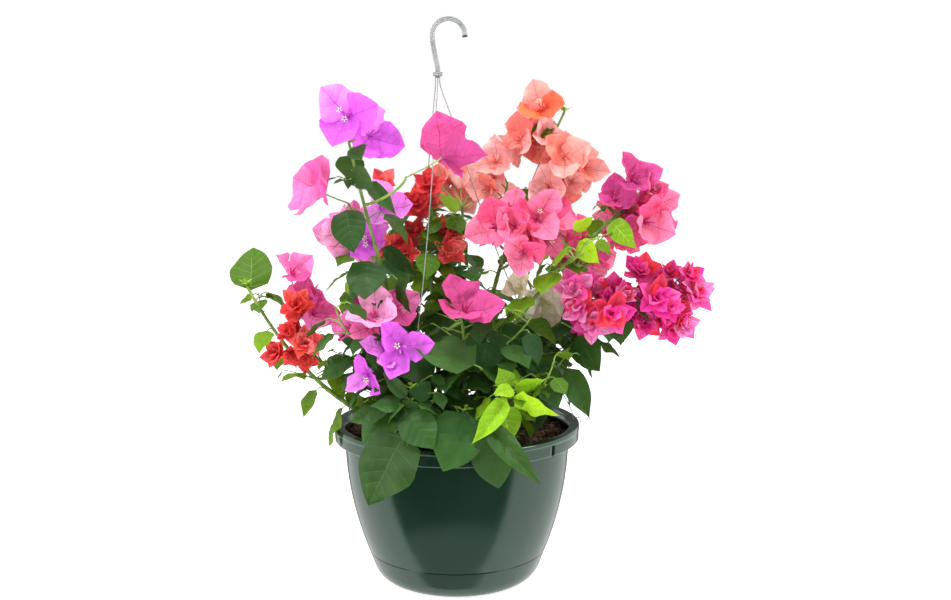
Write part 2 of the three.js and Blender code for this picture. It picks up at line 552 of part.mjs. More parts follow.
// A leaf on its petiole. turn is the petiole's heading, swing what the blade adds to it, droop how far the
// blade hangs, all in radians.
function makeLeaf(stemPoint, turn, petiole, length, droop, swing, roll, share = LEAF_WIDTH) {
  const end = stemPoint.clone().addScaledVector(heading(turn), petiole).addScaledVector(UP, petiole * 0.3);
  const out = heading(turn + swing);
  const along = out.clone().multiplyScalar(Math.cos(droop)).addScaledVector(UP, -Math.sin(droop));
  const up = out.clone().multiplyScalar(Math.sin(droop)).addScaledVector(UP, Math.cos(droop));
  up.applyAxisAngle(along, roll);
  const width = length * share;
  return {
    whole: leafSolid(stemPoint, end, along, up, length, width),
    head: leafSolid(end, end.clone().addScaledVector(along, 1), along, up, length - 1, width),
  };
}

// A bloom on its pedicel, which enters the cup a little off its centre, between a tip and a notch.
function makeBloom(stemPoint, centre, face, row, size, roll) {
  const hub = centre.clone().addScaledVector(face, -size * 0.35);
  const open = radians(row.open);
  const corners = [0, 1].map((step) => starRim(hub, face, size, open, row.bracts, roll, step));
  const inside = hub.clone().addScaledVector(face, STAR_THICKNESS * 0.4);
  const end = inside.lerp(corners[0].lerp(corners[1], 0.5), 0.16);
  const head = starSolid(hub, face, size, open, row.bracts, roll);
  const stalk = limb(new THREE.LineCurve3(stemPoint, end), 0, 1, () => PETIOLE_RADIUS, 3, 1);
  return { whole: head.add(stalk), head };
}

function caneCurve(cane) {
  const foot = new THREE.Vector3(cane.foot[0], cane.foot[1], SOIL_HEIGHT + GAP);
  const risen = foot.clone().setZ(foot.z + cane.rise);
  return new THREE.CubicBezierCurve3(foot, risen, point(cane.over), point(cane.tip));
}

// A cane's radius: a flare at the soil, then an even taper.
const caneRadius = (cane) => (t) => cane.girth * (1 - 0.62 * t) * (1 + 0.5 * Math.exp(-t * 40));

// The share of a curve that is as long as the standard gap.
const gapShare = (curve, t) => GAP / (curve.getPoint(t).distanceTo(curve.getPoint(t + 0.001)) * 1000);

// The line of a spray's stalk: square out of the middle of its cane, then over to the back of the head.
function sprayCurve(cane, curve, row) {
  const from = onLimb(curve, cane.bare, 1, STEM_STEPS, row.at);
  const tangent = curve.getTangent(row.at);
  const head = point(row.head).addScaledVector(point(row.face).normalize(), -row.bract);
  const toHead = head.clone().sub(from);
  const square = toHead.clone().addScaledVector(tangent, -toHead.dot(tangent)).normalize();
  const reach = from.distanceTo(head);
  return new THREE.CubicBezierCurve3(
    from,
    from.clone().addScaledVector(square, reach * 0.33),
    head.clone().addScaledVector(UP, -reach * 0.15),
    head,
  );
}

// A spray's stalk, begun as near to its cane's stem as the gap lets it.
function sprayStalk(line, stem) {
  const radius = (t) => TWIG_RADIUS * (1.25 - 0.35 * t);
  for (let from = 0; ; from += 0.1 / line.getLength()) {
    const solid = limb(line, from, 1, radius, 3, STALK_STEPS);
    if (solid.minGap(stem, 2) > GAP) return { from, solid };
  }
}

// A place for a bloom in the outer part of its spray's head, each way from -1 to 1.
function bloomPlace(random) {
  const height = 2 * random() - 1;
  const angle = 2 * Math.PI * random();
  const ring = Math.sqrt(1 - height * height);
  const depth = 0.45 + 0.55 * random();
  return new THREE.Vector3(ring * Math.cos(angle), ring * Math.sin(angle), height).multiplyScalar(depth);
}

const group = new THREE.Group();

function show(name, solid, colour, roughness = 0.8, metalness = 0) {
  const pieces = solid.simplify(0.2).decompose();
  const whole = pieces.reduce((a, b) => (a.volume() > b.volume() ? a : b));
  const material = new THREE.MeshStandardMaterial({ color: COLOURS[colour], roughness, metalness });
  const mesh = new THREE.Mesh(geometryOf(whole), material);
  mesh.name = name;
  group.add(mesh);
}

// The basket and its hanger.
const basket = [
  ["saucer", makeSaucer(), "pot", 0.35, 0],
  ["pot", makePot(), "pot", 0.35, 0],
  ["soil", makeSoil(), "soil", 1, 0],
  ["hanger_ferrule", makeFerrule(), "wire", 0.4, 0.9],
  ["hanger_hook", makeHook(), "wire", 0.4, 0.9],
  ...WIRE_TURNS.map((_, i) => [`hanger_wire_${i + 1}`, makeWire(i), "wire", 0.4, 0.9]),
];
for (const [name, solid, ...finish] of basket) {
  remember(name, "limb", solid);
  show(name, solid, ...finish);
}

// The canes: a bare lower part, and a leafy upper part that goes on from it.
const growth = CANES.map((cane, index) => {
  const curve = caneCurve(cane);
  const radius = caneRadius(cane);
  const from = cane.bare + gapShare(curve, cane.bare);
  const bough = remember(`cane_${cane.name}`, "limb", limb(curve, 0, cane.bare, radius, 5, 5));
  const node = `foliage_${cane.name}`;
  const stem = remember(node, "limb", limb(curve, from, 1, radius, 4, STEM_STEPS));
  return { cane, curve, node, bough, parts: [stem], random: (organ) => seededRandom(index + 1, organ) };
});

// The stalks of the sprays, then their blooms.
const sprays = SPRAYS.map((row, index) => {
  const { cane, curve, parts } = growth.find((each) => each.cane.name === row.cane);
  const line = sprayCurve(cane, curve, row);
  const node = `blossom_${row.name}`;
  const { from, solid } = sprayStalk(line, parts[0]);
  const random = (organ) => seededRandom(101 + index, organ);
  const root = (t) => onLimb(line, from, 1, STALK_STEPS, t);
  return { row, node, root, parts: [remember(node, "limb", solid)], random };
});
for (const { row, node, root, parts, random } of sprays) {
  for (let i = 0; i < row.blooms; i += 1) {
    const draw = random(i);
    const hero = row.heroes[i];
    const from = root(0.97 - (0.5 * i) / row.blooms);
    const bloom = settle(node, BLOOM_TRIES, (k) => {
      const offset = bloomPlace(draw);
      const size = (hero ? hero[6] : row.bract * (1.06 - 0.2 * draw())) * (1 - 0.005 * k);
      const roll = draw() * 2 * Math.PI;
      const spread = offset.clone().multiply(point(row.reach));
      const centre = hero ? point(hero.slice(0, 3)) : point(row.head).add(spread);
      const face = hero ? point(hero.slice(3, 6)) : point(row.face).normalize().addScaledVector(offset, 0.7);
      return makeBloom(from, centre, face.normalize(), row, size, roll);
    });
    if (bloom) parts.push(bloom);
  }
}

// Single large leaves first, then side twigs and the leaves that the rule gives.
for (const { cane, curve, node, parts } of growth) {
  for (const [at, turn, petiole, length, droop, swing, roll, narrow = LEAF_WIDTH] of cane.heroes) {
    const from = onLimb(curve, cane.bare, 1, STEM_STEPS, at);
    const pose = [droop, swing, roll].map(radians);
    const leaf = settle(node, HERO_TRIES, (k) =>
      makeLeaf(from, radians(turn + HERO_STEPS[k]), petiole + HERO_STRETCH * k, length, ...pose, narrow),
    );
    if (leaf) parts.push(leaf);
  }
}

// A side twig with its curve, or none where no try keeps clear.
function growTwig(cane, curve, node, draw, j) {
  const at = cane.bare + (1 - cane.bare) * ((j + 0.6) / cane.twigs) * 0.85;
  const from = onLimb(curve, cane.bare, 1, STEM_STEPS, at);
  const turn = draw() * 2 * Math.PI;
  const length = 52 + 34 * draw();
  const lift = radians(18 + 30 * draw());
  for (let k = 0; k < LEAF_TRIES; k += 1) {
    const out = heading(turn + k * 0.9);
    const reach = (level, rise) => from.clone().addScaledVector(out, level).addScaledVector(UP, rise);
    const knee = reach(length * 0.55, length * 0.08);
    const end = reach(length * Math.cos(lift), length * Math.sin(lift));
    const line = new THREE.QuadraticBezierCurve3(from, knee, end);
    const radius = (t) => TWIG_RADIUS * (1.15 - 0.4 * t);
    const whole = limb(line, 0, 1, radius, 3, TWIG_STEPS);
    const head = limb(line, 0.15, 1, radius, 3, TWIG_STEPS);
    if (isClear({ whole, head }, node)) return { line, solid: remember(node, "limb", whole) };
  }
  return null;
}
for (const { cane, curve, node, parts, random } of growth) {
  const places = [];
  for (let i = 0; i < cane.leaves; i += 1) {
    const at = cane.bare + (1 - cane.bare) * ((i + 0.6) / cane.leaves);
    places.push([onLimb(curve, cane.bare, 1, STEM_STEPS, at), at, cane.blade]);
  }
  for (let j = 0; j < cane.twigs; j += 1) {
    const twig = growTwig(cane, curve, node, random(500 + j), j);
    if (!twig) continue;
    parts.push(twig.solid);
    for (let i = 0; i < TWIG_LEAVES; i += 1) {
      const at = 0.42 + (0.56 * i) / (TWIG_LEAVES - 1);
      places.push([onLimb(twig.line, 0, 1, TWIG_STEPS, at), at, cane.blade * 0.8]);
    }
  }
  places.forEach(([from, at, full], i) => {
    const draw = random(i);
    const turn = i * GOLDEN + 0.8 * draw();
    const length = full * (0.8 + 0.35 * draw()) * (1 - 0.3 * at * at);
    const petiole = 13 + 9 * draw();
    const droop = radians(22 + 46 * draw());
    const roll = (draw() - 0.5) * 0.6;
    const attempt = (k) => makeLeaf(from, turn + 0.9 * k, petiole, length, droop, 0, roll);
    const leaf = settle(node, LEAF_TRIES, attempt);
    if (leaf) parts.push(leaf);
  });
}

for (const { cane, node, bough, parts } of growth) {
  show(`cane_${cane.name}`, bough, "wood", 0.9);
  show(node, Manifold.union(parts), cane.tone, 0.6);
}
for (const { row, node, parts } of sprays) show(node, Manifold.union(parts), row.colour, 0.6);

export default group;
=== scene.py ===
"""Looks of a potted bougainvillea in a hanging basket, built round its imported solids.

The canes, twigs, leaves and blooms grow again by the rule that made the solids, each organ where its solid
stands, and the rule is carried on to finer shoots inside the same reach. Sizes are millimetres until a mesh
is made, and turns are from the front towards the right.
"""
import math
from collections import namedtuple

import bpy
import numpy as np
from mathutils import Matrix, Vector, noise
from mathutils.kdtree import KDTree


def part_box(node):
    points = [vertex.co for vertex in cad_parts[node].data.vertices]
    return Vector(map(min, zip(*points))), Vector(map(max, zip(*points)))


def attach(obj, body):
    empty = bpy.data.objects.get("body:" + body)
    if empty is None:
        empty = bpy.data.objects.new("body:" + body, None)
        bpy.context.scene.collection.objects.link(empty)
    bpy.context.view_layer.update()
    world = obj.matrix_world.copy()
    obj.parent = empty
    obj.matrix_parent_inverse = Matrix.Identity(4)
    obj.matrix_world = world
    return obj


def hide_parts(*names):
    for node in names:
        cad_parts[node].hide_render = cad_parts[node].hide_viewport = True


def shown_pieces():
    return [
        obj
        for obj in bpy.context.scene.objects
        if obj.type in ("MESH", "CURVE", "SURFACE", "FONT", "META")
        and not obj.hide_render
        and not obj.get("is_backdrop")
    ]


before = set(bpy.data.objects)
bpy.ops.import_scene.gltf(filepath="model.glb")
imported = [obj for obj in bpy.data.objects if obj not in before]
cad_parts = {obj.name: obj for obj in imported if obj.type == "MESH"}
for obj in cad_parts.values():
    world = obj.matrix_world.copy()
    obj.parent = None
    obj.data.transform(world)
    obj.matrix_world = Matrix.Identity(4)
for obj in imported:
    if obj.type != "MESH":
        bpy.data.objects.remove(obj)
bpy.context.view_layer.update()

# The basket's and the hanger's driving sizes, as in the solids' source.
POT_HEIGHT = 162
RIM_RADIUS = 127
LIP_RADIUS = 118
SKIRT_DEPTH = 16
SKIRT_RADIUS = 126.2
WALL = 2.2
NECK = POT_HEIGHT - SKIRT_DEPTH
NECK_RADIUS = 115.9
SHOULDER_RADIUS = 93.2
SHOULDER_HEIGHT = 30
BODY_CURVE = 1.95
SAUCER_FOOT_RADIUS = 76
SAUCER_TURN_RADIUS = 86
SAUCER_TURN_HEIGHT = 11
SOIL_HEIGHT = 148
GAP = 0.35
SLOT_TURN = 47
WIRE_RADIUS = 0.85
STRAND_SPACING = 2.15
WIRE_TURNS = (-25, 95, 215)
WIRE_BOW = 11
EYELET_RADIUS = 121.6
EYELET_STEP = 4.6
CROWN = np.array((-18.7, 0.0, 516.0))
FERRULE_HEIGHT = 5
FERRULE_RADIUS = 5
HOOK_TOP = 573.5
HOOK_RADIUS = 16.4

# How thick the hanger is drawn beside its solids: the wires, the hook's strands, and how far apart these are.
WIRE_SHARE = 0.64
STRAND_SHARE = 1.1
SPACING_SHARE = 0.74

# The camera that was fitted to the photograph: its place, its drop and turn in degrees, and its focal length.
CAMERA = np.array((0.0, -1139.4, 435.7))
CAMERA_DROP = 7.386
CAMERA_TURN = 0.965
FOCAL_PIXELS = 1118.2
PHOTO_WIDTH = 951

# The growth's driving sizes.
GOLDEN = math.pi * (3 - math.sqrt(5))
LEAF_WIDTH = 0.8
ROUND_FROM = 40
STEM_STEPS = 6
TWIG_STEPS = 3
TWIG_RADIUS = 1.35
TWIG_LEAVES = 3
LEAF_TRIES = 6
HERO_STEPS = (0, 9, -9, 18, -18, 27, -27, 36)
HERO_STRETCH = 1.5
TWIG_FOUND_WITHIN = 1.25
BLOOM_TRIES = 40
FOUND_WITHIN = 0.45
SPRAY_SEED = 101
TWIG_SEED = 500
SEED_MODULUS = 2147483647
SEED_FACTOR = 48271

Cane = namedtuple("Cane", "name foot rise over tip bare girth leaves twigs blade tone heroes")
Spray = namedtuple("Spray", "name cane at head reach face blooms bract bracts open colour heroes")

# The tables of canes and sprays, as in the solids' source. A cane's heroes are its large leaves: place along
# the cane, turn, petiole, length, droop, swing, roll and, where it isn't the usual one, width. A spray's
# heroes are its large blooms: centre, the way each faces, and size.
CANES = [
    Cane("left_tall", (-42, -22), 90, (-72, -56, 300), (-104, -62, 455), 0.3, 3.2, 5, 1, 44, "dark",
         [(0.67, -26, 24, 48, 41, 24, -3), (0.81, -48, 25, 44, 59, 68, 21),
         (0.92, -85, 4, 30, 36, 144, 104), (0.89, 97, 7, 42, 48, -24, 73, 0.36),
         (0.97, 79, 5, 25, 28, -60, 32), (0.72, 104, 7, 44, 40, -28, 76, 0.38)]),
    Cane("left_low", (-72, -16), 30, (-132, -52, 170), (-206, -46, 308), 0.34, 3.6, 7, 1, 42, "mid",
         [(0.985, 179, 4, 53, -52, 8, -8)]),
    Cane("left_mid", (-58, -50), 60, (-84, -76, 250), (-92, -62, 312), 0.25, 2.6, 6, 1, 46, "dark",
         [(0.49, -92, 30, 38, 27, 12, -26), (0.97, 91, 30, 38, 58, -38, 98)]),
    Cane("centre_back", (-18, 18), 120, (-34, 10, 300), (-24, -4, 398), 0.3, 3, 9, 1, 38, "mid", []),
    Cane("coral", (22, 26), 110, (40, 30, 330), (112, 34, 480), 0.32, 3.2, 8, 1, 36, "mid", []),
    Cane("right_cane", (16, -20), 70, (70, -44, 310), (190, -42, 404), 0.45, 3, 6, 1, 38, "lime",
         [(0.87, 18, 13, 38, 43, 45, 67, 0.55), (0.83, -76, 21, 24, -33, 146, 141),
         (0.8, -30, 14, 30, 45, 90, 101)]),
    Cane("right_low", (52, -8), 46, (116, -22, 262), (228, -16, 300), 0.3, 3.2, 8, 2, 44, "dark",
         [(0.65, -39, 10, 42, 56, 97, 93), (0.41, 68, 30, 57, 62, -5, 62, 0.48)]),
    Cane("centre_front", (6, -52), 60, (12, -84, 236), (2, -74, 296), 0.25, 2.8, 5, 1, 50, "dark",
         [(0.79, 72, 29, 46, 51, -101, -32), (0.54, 37, 42, 68, -18, -118, -22),
         (0.76, 159, 29, 46, 17, 122, -80), (0.66, 98, 47, 46, 48, -32, 68, 0.45),
         (0.76, 115, 36, 52, 26, -22, 85, 0.42), (0.52, -54, 35, 38, 7, -23, -48),
         (0.37, 38, 41, 27, -4, -110, -28)]),
    Cane("front_left", (-44, -78), 26, (-44, -90, 196), (-43, -116, 220), 0.2, 2.4, 4, 1, 36, "dark",
         [(0.24, -15, 40, 74, 56, -50, -30), (0.6, -17, 28, 46, 41, 56, 47),
         (0.7, -23, 21, 30, -1, -63, -33), (0.81, 12, 11, 24, -41, 92, 89),
         (0.69, -19, 24, 22, 1, 88, 131), (0.82, -17, 11, 34, -46, -87, -74, 0.38),
         (0.55, -57, 20, 42, 42, -9, -38), (0.5, -96, 28, 34, 16, 24, -29),
         (0.29, -18, 37, 18, 56, -28, -4)]),
    Cane("front_low", (-2, -88), 18, (0, -100, 184), (6, -113, 198), 0.22, 2, 2, 0, 36, "dark",
         [(0.91, 62, 6, 60, 50, -96, -41), (0.26, 12, 40, 50, 77, 31, 63),
         (0.53, 45, 39, 76, 38, 7, 59, 0.3)]),
    Cane("front_right", (44, -70), 30, (48, -92, 200), (50, -114, 222), 0.2, 2.4, 4, 1, 36, "lime",
         [(0.97, -32, 3, 24, -54, -10, -129), (0.98, 62, 4, 34, -5, 43, 133),
         (0.77, 13, 20, 46, 23, 68, 138), (0.89, -7, 12, 21, 4, -77, -39),
         (0.74, -6, 25, 54, 48, -56, -65, 0.36), (0.98, 180, 5, 24, -45, 0, 0),
         (0.6, -12, 20, 36, 64, 40, 40)]),
    Cane("right_dark", (70, 20), 50, (96, 22, 230), (112, 16, 282), 0.25, 2.8, 9, 2, 50, "dark",
         [(0.5, 80, 20, 52, 70, 0, 0)]),
    Cane("back_left", (-52, 46), 70, (-84, 76, 260), (-116, 104, 344), 0.28, 3, 10, 2, 46, "mid", []),
    Cane("back_centre", (-4, 70), 80, (2, 96, 280), (8, 118, 392), 0.28, 3, 10, 2, 46, "dark", []),
    Cane("back_right", (54, 58), 70, (100, 90, 250), (156, 112, 330), 0.28, 3, 10, 2, 46, "mid", []),
]

SPRAYS = [
    Spray("violet_crown", "left_tall", 0.985, (-93, -58, 466), (20, 20, 12), (-0.1, -1, 0.25), 2, 36, 3,
         64, "violet", [(-104, -80, 474, -0.15, -1, 0.2, 38), (-78, -38, 455, 0.45, -0.6, 0.1, 36)]),
    Spray("pink_left", "left_tall", 0.8, (-132, -78, 402), (13, 8, 8), (-0.7, -0.5, 0.3), 1, 36, 3, 52,
         "pink", [(-134, -80, 404, -0.75, -0.5, 0.4, 38)]),
    Spray("magenta_high", "left_tall", 0.84, (-9, -82, 440), (0, 0, 0), (0.55, 0.1, 0.35), 1, 46, 3, 58,
         "magenta", [(-6, -80, 442, 0.4, 0.5, 0.45, 44)]),
    Spray("violet_behind", "left_tall", 0.7, (-80, -24, 370), (10, 8, 26), (0.3, -0.6, 0.5), 2, 34, 3, 60,
         "violet", [(-72, -22, 386, 0.3, -0.8, 0.4, 34), (-88, -40, 352, -0.3, -0.8, 0.3, 28)]),
    Spray("pink_low_left", "left_low", 0.8, (-152, -24, 302), (14, 10, 34), (0.4, -0.7, 0.4), 2, 29, 3,
         56, "pink", [(-161, -30, 324, 0.35, -0.6, 0.6, 28), (-140, -22, 278, 0.5, -0.6, 0.2, 29)]),
    Spray("red_left", "left_low", 0.56, (-154, -66, 262), (20, 18, 30), (0, -0.9, 0.3), 4, 22, 5, 62,
         "red", [(-156, -62, 292, 0.1, -0.8, 0.4, 24), (-146, -72, 256, 0.1, -0.9, 0.3, 22),
         (-176, -72, 246, -0.5, -0.7, 0.3, 20)]),
    Spray("pink_front", "left_mid", 0.86, (-82, -82, 283), (26, 16, 14), (-0.2, -0.8, 0.5), 3, 32, 3, 58,
         "pink", [(-78, -98, 292, -0.1, -0.7, 0.65, 35), (-108, -64, 272, -0.6, -0.5, 0.4, 24),
         (-53, -66, 291, 0.5, -0.6, 0.3, 27)]),
    Spray("violet_front", "left_mid", 0.6, (-66, -110, 246), (18, 12, 20), (0.15, -1, 0.1), 2, 32, 3, 68,
         "violet", [(-51, -124, 259, 0.1, -1, 0.05, 34), (-88, -108, 228, -0.5, -0.8, -0.1, 28)]),
    Spray("red_high", "centre_back", 0.93, (-44, 0, 396), (38, 22, 20), (0, -0.8, 0.5), 4, 23, 5, 62,
         "red", [(-40, -8, 388, 0, -0.9, 0.3, 24), (-76, 2, 408, -0.2, -0.8, 0.4, 22)]),
    Spray("red_middle", "centre_back", 0.75, (-36, -2, 346), (44, 26, 28), (0, -0.8, 0.5), 4, 25, 5, 62,
         "red", []),
    Spray("coral_top", "coral", 0.95, (76, 22, 468), (30, 26, 34), (-0.3, -0.8, 0.4), 4, 31, 3, 54,
         "coral", [(86, 14, 487, -0.1, -0.9, 0.4, 33), (62, 4, 455, -0.4, -0.8, 0.3, 31)]),
    Spray("coral_middle", "coral", 0.86, (112, 8, 424), (30, 26, 36), (0.1, -0.9, 0.3), 4, 31, 3, 54,
         "coral", [(110, -8, 436, 0, -1, 0.3, 34), (92, -4, 404, -0.3, -0.9, 0.1, 30)]),
    Spray("coral_left", "coral", 0.62, (34, 18, 417), (10, 10, 16), (-0.6, -0.6, 0.3), 2, 29, 3, 54,
         "coral", [(38, 10, 432, -0.3, -0.9, 0.3, 30), (28, 4, 401, -0.6, -0.7, 0, 26)]),
    Spray("magenta_middle", "coral", 0.56, (66, -40, 366), (48, 28, 26), (-0.1, -0.9, 0.5), 6, 32, 3, 58,
         "magenta", [(34, -46, 368, -0.4, -0.9, 0.3, 34), (80, -54, 378, 0.1, -0.9, 0.4, 36),
         (64, -70, 342, -0.1, -1, -0.1, 28)]),
    Spray("magenta_right", "right_cane", 0.9, (176, -46, 390), (34, 24, 34), (0.5, -0.7, 0.4), 5, 31, 3,
         54, "magenta", [(174, -54, 416, 0.3, -0.8, 0.5, 33), (188, -64, 372, 0.5, -0.8, 0.1, 33)]),
    Spray("hotpink_near", "right_low", 0.62, (142, -28, 290), (40, 34, 28), (0, -0.7, 0.5), 6, 27, 5, 66,
         "hotpink", [(116, -40, 304, -0.2, -0.9, 0.4, 28), (152, -60, 282, 0.1, -1, 0.2, 28)]),
    Spray("hotpink_far", "right_low", 0.9, (212, -20, 294), (46, 40, 36), (0.3, -0.7, 0.4), 8, 28, 5, 66,
         "hotpink", [(186, -24, 322, -0.1, -0.7, 0.7, 27), (196, -58, 298, 0.1, -1, 0.3, 28),
         (240, -40, 300, 0.5, -0.8, 0.3, 27)]),
    Spray("pink_fold", "centre_front", 0.88, (12, -101, 300), (0, 0, 0), (0.5, -0.5, 0.7), 1, 44, 3, 64,
         "magenta", [(10, -106, 300, 0.2, -0.5, 0.8, 40)]),
    Spray("cream_right", "right_dark", 0.9, (84, -4, 292), (14, 8, 12), (0.2, -0.8, -0.3), 2, 38, 3, 58,
         "cream", [(90, -26, 286, 0.15, -0.95, -0.2, 38), (60, -44, 308, -0.6, -0.6, 0.5, 22)]),
    Spray("pink_back", "back_left", 0.9, (-112, 104, 350), (42, 34, 32), (-0.5, 0.7, 0.5), 4, 35, 3, 58,
         "pink", []),
    Spray("coral_back", "back_centre", 0.92, (6, 116, 400), (44, 32, 34), (0, 0.8, 0.5), 4, 35, 3, 58,
         "coral", []),
    Spray("magenta_back", "back_right", 0.9, (150, 112, 334), (42, 34, 32), (0.5, 0.7, 0.5), 4, 35, 3, 58,
         "magenta", []),
]

# Base colours: a leaf's or bract's own, from the palest to the deepest, and that of its veins last.
LEAF_COLOURS = {
    "dark": ("385c2f", "2d4e24", "203e1b", "365a2d"),
    "mid": ("5d7e10", "4c7016", "385a18", "6f8e28"),
    "lime": ("96c01a", "82ae1a", "6a961c", "b4d648"),
}
BRACT_COLOURS = {
    "violet": ("f6a8f4", "f08cec", "dc66e0", "b23cbc"),
    "pink": ("fbacd8", "f582bf", "ea62a8", "cc4086"),
    "magenta": ("fb86ac", "f25e92", "d05093", "ac2a62"),
    "hotpink": ("ff98d4", "fb62b6", "f040a2", "c8227a"),
    "red": ("f87c78", "f05a58", "de4046", "a62228"),
    "coral": ("fdc8c4", "f9aca6", "f28b80", "da6e5e"),
    "cream": ("e6e0ca", "d6cdb0", "c0b88f", "aeab84"),
}

# A second colour that some bracts have: the share of them by colour, and the one bloom that it marks most.
ODD_COLOURS = {"hotpink": "f0485e", "coral": "ee7450"}
ODD_SHARE = {"hotpink": 0.14}
ODD_BLOOM = ("coral_top", 0)
ODD_BLOOM_SHARE = 0.8

# The tone of some sprays' blooms, where it doesn't change from bloom to bloom.
TONES = {"magenta_high": 2, "pink_fold": 2, "magenta_middle": 0, "violet_crown": 1}

# How broad a spray's bracts are where they aren't about as broad as long, and how often a flower is open.
BREADTH = {
    "magenta_high": 1.3, "pink_fold": 1.15, "pink_left": 1.6, "violet_front": 0.82, "violet_crown": 1.1,
}
OPEN_FLOWERS = {"violet": 0.3, "cream": 0.2}
RARELY_OPEN = 0.04

# The whorls of a double bloom: their size, a bract's width, how far they open, and how many bracts they have.
DOUBLE = ((1, 0.7, 1, 5), (0.9, 0.7, 0.72, 4), (0.72, 0.62, 0.4, 3))

# How many finer blooms a spray of each colour carries beside each of the solids', and some sprays' own.
MORE_BLOOMS = {
    "violet": 0.5, "pink": 1.0, "magenta": 1.2, "hotpink": 2.4, "red": 0.8, "coral": 1.6, "cream": 0.5,
    "pink_left": 0, "red_left": 1.3,
}

# How many finer twigs a cane has along its stem, where it isn't the usual 7, and how large their leaves are.
FINER = {
    "right_cane": (3, 0.6), "left_tall": (3, 0.6), "left_low": (5, 0.8), "coral": (4, 0.8),
    "centre_front": (30, 1.3), "right_dark": (26, 1.2), "right_low": (18, 1.1), "left_mid": (26, 1.2),
    "front_left": (20, 1.2), "front_low": (14, 1.1), "front_right": (12, 0.9), "centre_back": (20, 1.3),
    "back_left": (14, 1.2), "back_centre": (14, 1.2), "back_right": (14, 1.2),
}
USUAL_FINER = (7, 1.0)

# The least and the most of a blade's fold along its midrib, bend along its length, twist, cup across, wave of
# the edge, crumple, and the waves' phase.
LEAF_SHAPE = ((0.05, 0.3), (0.15, 0.6), (-0.5, 0.5), (0.1, 0.5), (0.012, 0.04), (0.01, 0.04), (0, 6.3))
BROAD_BRACT = ((0.02, 0.2), (-0.7, 0.1), (-0.6, 0.6), (-0.8, -0.1), (0.045, 0.1), (0.06, 0.13), (0, 6.3))
NARROW_BRACT = ((0, 0.35), (-0.8, 0.5), (-0.8, 0.8), (-0.7, 0.2), (0.03, 0.09), (0.05, 0.13), (0, 6.3))

# Where a blade's first side vein leaves its midrib, and the share of its length that the side veins take up.
FIRST_VEIN = 0.07
VEIN_SPAN = 0.76

# Which of its pile's materials an organ has, beside a blade's tones from 0 to 2.
STALK = 1
VEIN = 3
PETIOLE = 4
TUBE = 4
STAR = 5
ODD = 6

# How near each other organs may stand, as a share of their sizes, and how often a finer bloom tries.
NEARNESS = 0.42
FINER_TRIES = 12
LIMB_SIDES = 14

UP = np.array((0.0, 0.0, 1.0))
rng = np.random.default_rng(20)


def vec(values):
    return np.array(values, float)


def unit(v):
    return v / np.linalg.norm(v)


def heading(turn):
    return np.array((math.sin(turn), -math.cos(turn), 0.0))


def round_axis(axis, angle):
    """The way out from an axis, at an angle round it."""
    side = unit(np.cross(axis, UP))
    return side * math.cos(angle) + np.cross(axis, side) * math.sin(angle)


def draws(ranges):
    return [rng.uniform(low, high) for low, high in ranges]


def seeded(node, organ):
    """The same draws as the solids' source has for this organ of this node."""
    state = (node * 7919 + organ * 104729 + 17) % SEED_MODULUS
    for _ in range(3):
        state = state * SEED_FACTOR % SEED_MODULUS

    def draw():
        nonlocal state
        state = state * SEED_FACTOR % SEED_MODULUS
        return state / SEED_MODULUS

    return draw


def curve_at(points, t):
    """The point at t on the Bezier curve with these control points."""
    while len(points) > 1:
        points = [a + (b - a) * t for a, b in zip(points, points[1:])]
    return points[0]


def curve_points(points, count):
    return [curve_at(points, t) for t in np.linspace(0, 1, count)]


def curve_run(points, t):
    return unit(curve_at([b - a for a, b in zip(points, points[1:])], t))


def on_limb(points, start, end, steps, t):
    """Where the solids root a leaf or stalk: a point on the straight stretches of a limb."""
    along = (min(t, 0.985) - start) / (end - start) * steps
    first = min(int(along), steps - 1)
    a, b = (curve_at(points, start + (end - start) * i / steps) for i in (first, first + 1))
    return a + (b - a) * (along - first)


def on_stem(cane, t):
    return on_limb(cane_curve(cane), cane.bare, 1, STEM_STEPS, t)


def cane_curve(cane):
    foot = vec((*cane.foot, SOIL_HEIGHT + GAP))
    return [foot, foot + UP * cane.rise, vec(cane.over), vec(cane.tip)]


def cane_radius(cane, t):
    return cane.girth * (1 - 0.62 * t) * (1 + 0.5 * math.exp(-t * 40))


class Pile:
    """Points and four-sided faces of many organs, which become one mesh."""

    def __init__(self):
        self.points, self.faces, self.slots, self.places, self.count = [], [], [], [], 0

    def add(self, points, faces, slots, places=None):
        """places gives each point's share of a blade's length, its place across and the blade's number."""
        self.points.append(points)
        self.places.append(np.zeros((len(points), 3)) if places is None else places)
        self.faces.append(np.asarray(faces) + self.count)
        self.slots.append(np.broadcast_to(slots, len(faces)))
        self.count += len(points)

    def make(self, name, materials, slot, nodes=()):
        mesh = bpy.data.meshes.new(name)
        points = np.concatenate(self.points) / 1000
        mesh.from_pydata(points.tolist(), [], np.concatenate(self.faces).tolist())
        for material in materials:
            mesh.materials.append(material)
        mesh.polygons.foreach_set("material_index", np.concatenate(self.slots).astype(np.int32))
        mesh.polygons.foreach_set("use_smooth", np.ones(len(mesh.polygons), bool))
        places = mesh.attributes.new("blade", "FLOAT_VECTOR", "POINT")
        places.data.foreach_set("vector", np.concatenate(self.places).ravel())
        mesh.update()
        piece = bpy.data.objects.new(name, mesh)
        bpy.context.scene.collection.objects.link(piece)
        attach(piece, "root")
        if nodes:
            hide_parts(*nodes)
        return piece


def grid_faces(rows, columns, closed=False):
    """Faces of a grid of points listed row by row."""
    wide = columns if closed else columns - 1
    i, j = (each.ravel() for each in np.meshgrid(np.arange(rows - 1), np.arange(wide), indexing="ij"))
    k = (j + 1) % columns
    return np.stack([i * columns + j, i * columns + k, (i + 1) * columns + k, (i + 1) * columns + j], 1)


